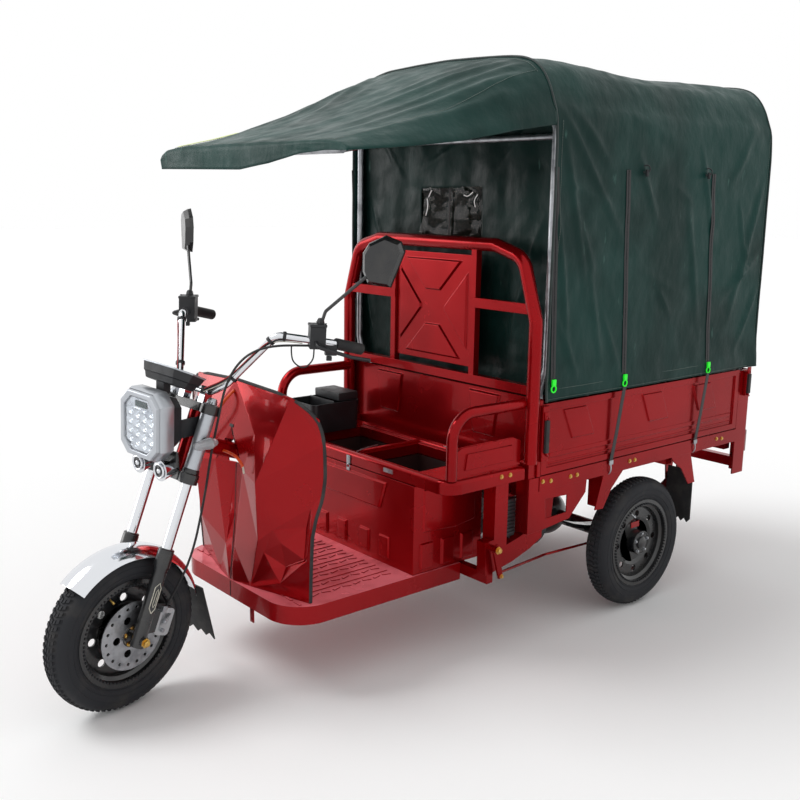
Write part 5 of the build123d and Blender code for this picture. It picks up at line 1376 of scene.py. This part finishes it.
def make_seat_fittings():
    lining, steel, black = parts(3)
    mid_x, mid_y, mid_z = (sum(ends) / 2 for ends in (BIN_X, BIN_Y, BIN_Z))
    deep, wide, high = (ends[1] - ends[0] for ends in (BIN_X, BIN_Y, BIN_Z))
    for side in SIDES:
        # dark brown sheets over the bins' walls and floors: painted shade
        for y in BIN_Y:
            block(lining, place(mid_x, side * y, mid_z), (deep, SHADE_SHEET, high), edge=0.5)
        for x in BIN_X:
            block(lining, place(x, side * mid_y, mid_z), (SHADE_SHEET, wide, high), edge=0.5)
        block(lining, place(mid_x, side * mid_y, BIN_Z[0]), (deep, wide, 2), edge=0.5)
        block(steel, place(1001.5, side * 200, 628), (3, 46, 14))
    # toggle hasp on the seat's front
    block(steel, place(1002, -12, 620), (3, 20, 34))
    block(steel, place(1006.5, -8, 574), (3, 16, 46))
    hoop(steel, place(1005, -10, 598), (1, 0, 0), 9, 1.8, 16)
    turned(steel, [(0, 7), (3, 7), (5, 4)], place(1006, -8, 556), (1, 0, 0), 12)
    # leaves where the missing seat hinges, and its stay
    for y in (163, 365):
        block(steel, place(690, y, 655), (34, 40, 3))
        turned(steel, [(0, 4), (40, 4)], place(676, y - 20, 658), (0, 1, 0), 12)
    rod(steel, [place(985, 12, 652), place(950, 6, 656), place(880, -6, 656)], 2.6, 8, 1)
    # two cup hollows and a divider in the tray
    for y in (-400, -316):
        turned(black, [(0, 30), (2, 36), (72, 38), (74, 36)], place(912, y, 656), UP, 28)
    block(black, place(866, -355, 712), (4, 150, 104), edge=1.5)
    block(black, place(800, -355, 776), (90, 152, 30), edge=6)
    gather_all("chassis", bin_lining=(lining, BIN_SHADE), seat_hardware=(steel, ZINC), tray_inserts=(black, PLASTIC))


# Load bed and side frame
BOLT_SPOTS = ((585, 588), (545, 584), (445, 582), (411, 582), (-435, 586), (-472, 582), (120, 584), (90, 584))


def make_bed_fittings():
    places, (grips, levers, boxes, shafts) = [], parts(4)
    for side in SIDES:
        out = (0, side, 0)
        places += [(place(x, side * 500.2, z), out) for x, z in BOLT_SPOTS]
        places += [(place(x, side * 488.2, 633), out) for x in (770, 730)]
        for x, low, high in ((596, 690, 800), (-609, 752, 832)):
            block(grips, place(x, side * 518, (low + high) / 2), (17, 12, high - low), edge=4)
            arm = ((x - 14, 515, low - 12), (x, 519, low - 4), (x, 519, low + 8))
            rod(levers, [place(a, side * y, z) for a, y, z in arm], 3.6, 8, 1)
            block(levers, place(x, side * 515.5, high + 14), (24, 4, 26), edge=1.5)
            hoop(levers, place(x, side * 518, high + 4), out, 8, 1.8, 16)
    # controller in the side frame's opening
    block(boxes, place(680, 424, 468), (44, 50, 128), edge=3)
    for k in range(9):
        block(boxes, place(680, 450.5, 418 + 12.5 * k), (42, 5, 4.5))
    block(boxes, place(706.5, 424, 500), (11, 26, 20))
    for route, radius in (
        (((676, 436, 404), (668, 440, 376), (640, 420, 366), (600, 380, 372)), 5.5),
        (((688, 430, 404), (690, 432, 380), (668, 410, 352), (610, 360, 352)), 4.5),
    ):
        rod(boxes, [place(*point) for point in route], radius, 8, 1)
    # shaft and lever bolt of the rear drums' linkage
    turned(shafts, [(0, 13), (2.5, 13), (2.6, 9), (10, 9), (12, 7)], place(790, 504, 395), (0, 1, 0), 6)
    turned(shafts, [(0, 8), (2, 8), (2.1, 5.5), (7, 5.5)], place(759, 492, 296), (0, 1, 0), 6)
    bolts("frame_bolts", places, 5.2, 4.5, GOLD, "chassis")
    gather_all(
        "chassis", latch_grips=(grips, SOFT_RUBBER), latch_levers=(levers, PAINT), controller_box=(boxes, PLASTIC),
        linkage_bolts=(shafts, GOLD),
    )


# Wheels
def make_wheel_details():
    for name, body, turn, centre, out, radius, cap in (
        ("rear_left", "rear_wheel_left", Matrix(), (0, HALF_TRACK, WHEEL_Z), 1, 45, 38),
        ("rear_right", "rear_wheel_right", Matrix(), (0, -HALF_TRACK, WHEEL_Z), -1, 45, 38),
        ("front", "front_wheel", STEER_TURN, (WHEELBASE, 0, WHEEL_Z), 1, 34, 54),
    ):
        metal, black = parts(2)
        middle = turn @ place(*centre)
        way, across = (turn.to_3x3() @ Vector(axis) for axis in ((0, out, 0), (1, 0, 0)))
        hub = middle + way * cap * MM
        for k in range(5):
            a = 2 * math.pi * (k + 0.25) / 5
            spot = hub + (across * math.cos(a) + UP * math.sin(a)) * (radius - 9) * MM
            turned(metal, [(0, 7.5), (1.6, 7.5), (1.7, 5.5), (7, 5.5), (8, 4)], spot, way, 6)
        hoop(black, hub, way, radius - 2, 2.2, 40)
        if name != "front":
            turned(black, [(0, 24), (6, 23), (10, 18), (12, 8)], hub, way, 32)
            hoop(black, middle + way * 4 * MM, way, 86, 2.0, 48)
            # a bare red plate where the real wheel has a label
            plate = bmesh.new()
            slab(plate, [
                middle + (way * 6.2 + across * x + UP * z) * MM
                for x, z in ((-24, 52), (24, 52), (24, 74), (-24, 74))
            ], way, 0.8)
            gather(name + "_blank_label", plate, RED_WIRE, body)
        valve_way = across * 0.4 + UP * 0.917
        stem = middle + (way * 16 + valve_way * 138) * MM
        turned(metal, [(0, 4), (6, 4), (7, 3), (24, 3), (25, 4), (33, 4)], stem, way - valve_way * 0.9, 10)
        gather(name + "_hub_bolts", metal, GOLD if name == "front" else ZINC, body)
        gather(name + "_hub_rings", black, GLOSS_BLACK, body)


# Stage and light
FLOOR_SIZE = 40.0
UNDER_TYRES = -0.0005


def make_stage():
    corners = [(x * FLOOR_SIZE, y * FLOOR_SIZE, 0) for x, y in ((-1, -1), (1, -1), (1, 1), (-1, 1))]
    floor = link(bpy.data.objects.new("floor", mesh_of("floor", corners, [(0, 1, 2, 3)])))
    floor.location.z = UNDER_TYRES
    paint = finish("pale_floor", (0.9, 0.9, 0.9, 1.0), 0.9, Specular_IOR_Level=0.0)
    tree = paint.node_tree
    seen = add_node(tree, "ShaderNodeLightPath").outputs["Is Camera Ray"]
    shades = {0: seen, 6: (0.86, 0.86, 0.86, 1), 7: (0.99, 0.99, 0.99, 1)}
    mix = add_node(tree, "ShaderNodeMix", shades, data_type="RGBA")
    tree.links.new(mix.outputs[2], shader_of(paint).inputs["Base Color"])
    floor.data.materials.append(paint)


def make_world():
    """White to the eye and in reflections; for soft light it is brighter above than at the horizon."""
    world = bpy.data.worlds.new("studio")
    bpy.context.scene.world = world
    world.use_nodes = True
    tree = world.node_tree
    tree.nodes.clear()
    way = add_node(tree, "ShaderNodeTexCoord").outputs["Generated"]
    height = add_node(tree, "ShaderNodeSeparateXYZ", {0: way}).outputs[2]
    path = add_node(tree, "ShaderNodeLightPath").outputs
    seen = maths(tree, "MAXIMUM", path["Is Camera Ray"], path["Is Glossy Ray"])
    seen = maths(tree, "MAXIMUM", seen, path["Is Transmission Ray"])
    glow = spread(tree, height, -0.1, 1.0, 0.36, 0.85)
    white = (1, 1, 1, 1)
    soft, plain = (
        made_by(tree, "ShaderNodeBackground", {"Strength": strength, "Color": white}) for strength in (glow, 1.0)
    )
    mix = made_by(tree, "ShaderNodeMixShader", {0: seen, 1: soft, 2: plain})
    add_node(tree, "ShaderNodeOutputWorld", {"Surface": mix})


def make_lights():
    for name, to_light, strength, width in (
        ("key_light", (0.42, -0.38, 0.82), 1.15, 28), ("front_light", (0.6, -0.79, 0.07), 0.9, 36),
    ):
        sun = bpy.data.lights.new(name, "SUN")
        sun.energy = strength
        sun.angle = math.radians(width)
        lamp = link(bpy.data.objects.new(name, sun))
        lamp.rotation_mode = "QUATERNION"
        lamp.rotation_quaternion = Vector(to_light).to_track_quat("Z", "Y")
    bpy.context.scene.view_settings.view_transform = "Standard"


FRONT_CURTAIN_X = 566
FRONT_CURTAIN_Z = 872
REAR_CURTAIN_X = -636

make_camera()
make_world()
make_lights()
make_stage()
dress_cad_nodes()
for metal_node, edge_width in EDGE_WIDTHS.items():
    round_edges(metal_node, edge_width)
blacken_clamps()
make_cover()
make_bindings()
make_cover_fittings()
make_awning()
make_rear_fittings()
make_awning_fittings()
make_curtain("front_curtain", FRONT_CURTAIN_X, FRONT_CURTAIN_Z, window=True, seed=1.3)
make_curtain("rear_curtain", REAR_CURTAIN_X, HEM_Z, window=False, seed=2.1)
make_window(FRONT_CURTAIN_X)
make_tyres()
make_lamp()
make_horns()
make_indicator_details()
make_fork_details()
make_bar_details()
make_dash_details()
make_shield_trim()
make_floor_tread()
make_seat_fittings()
make_bed_fittings()
make_wheel_details()
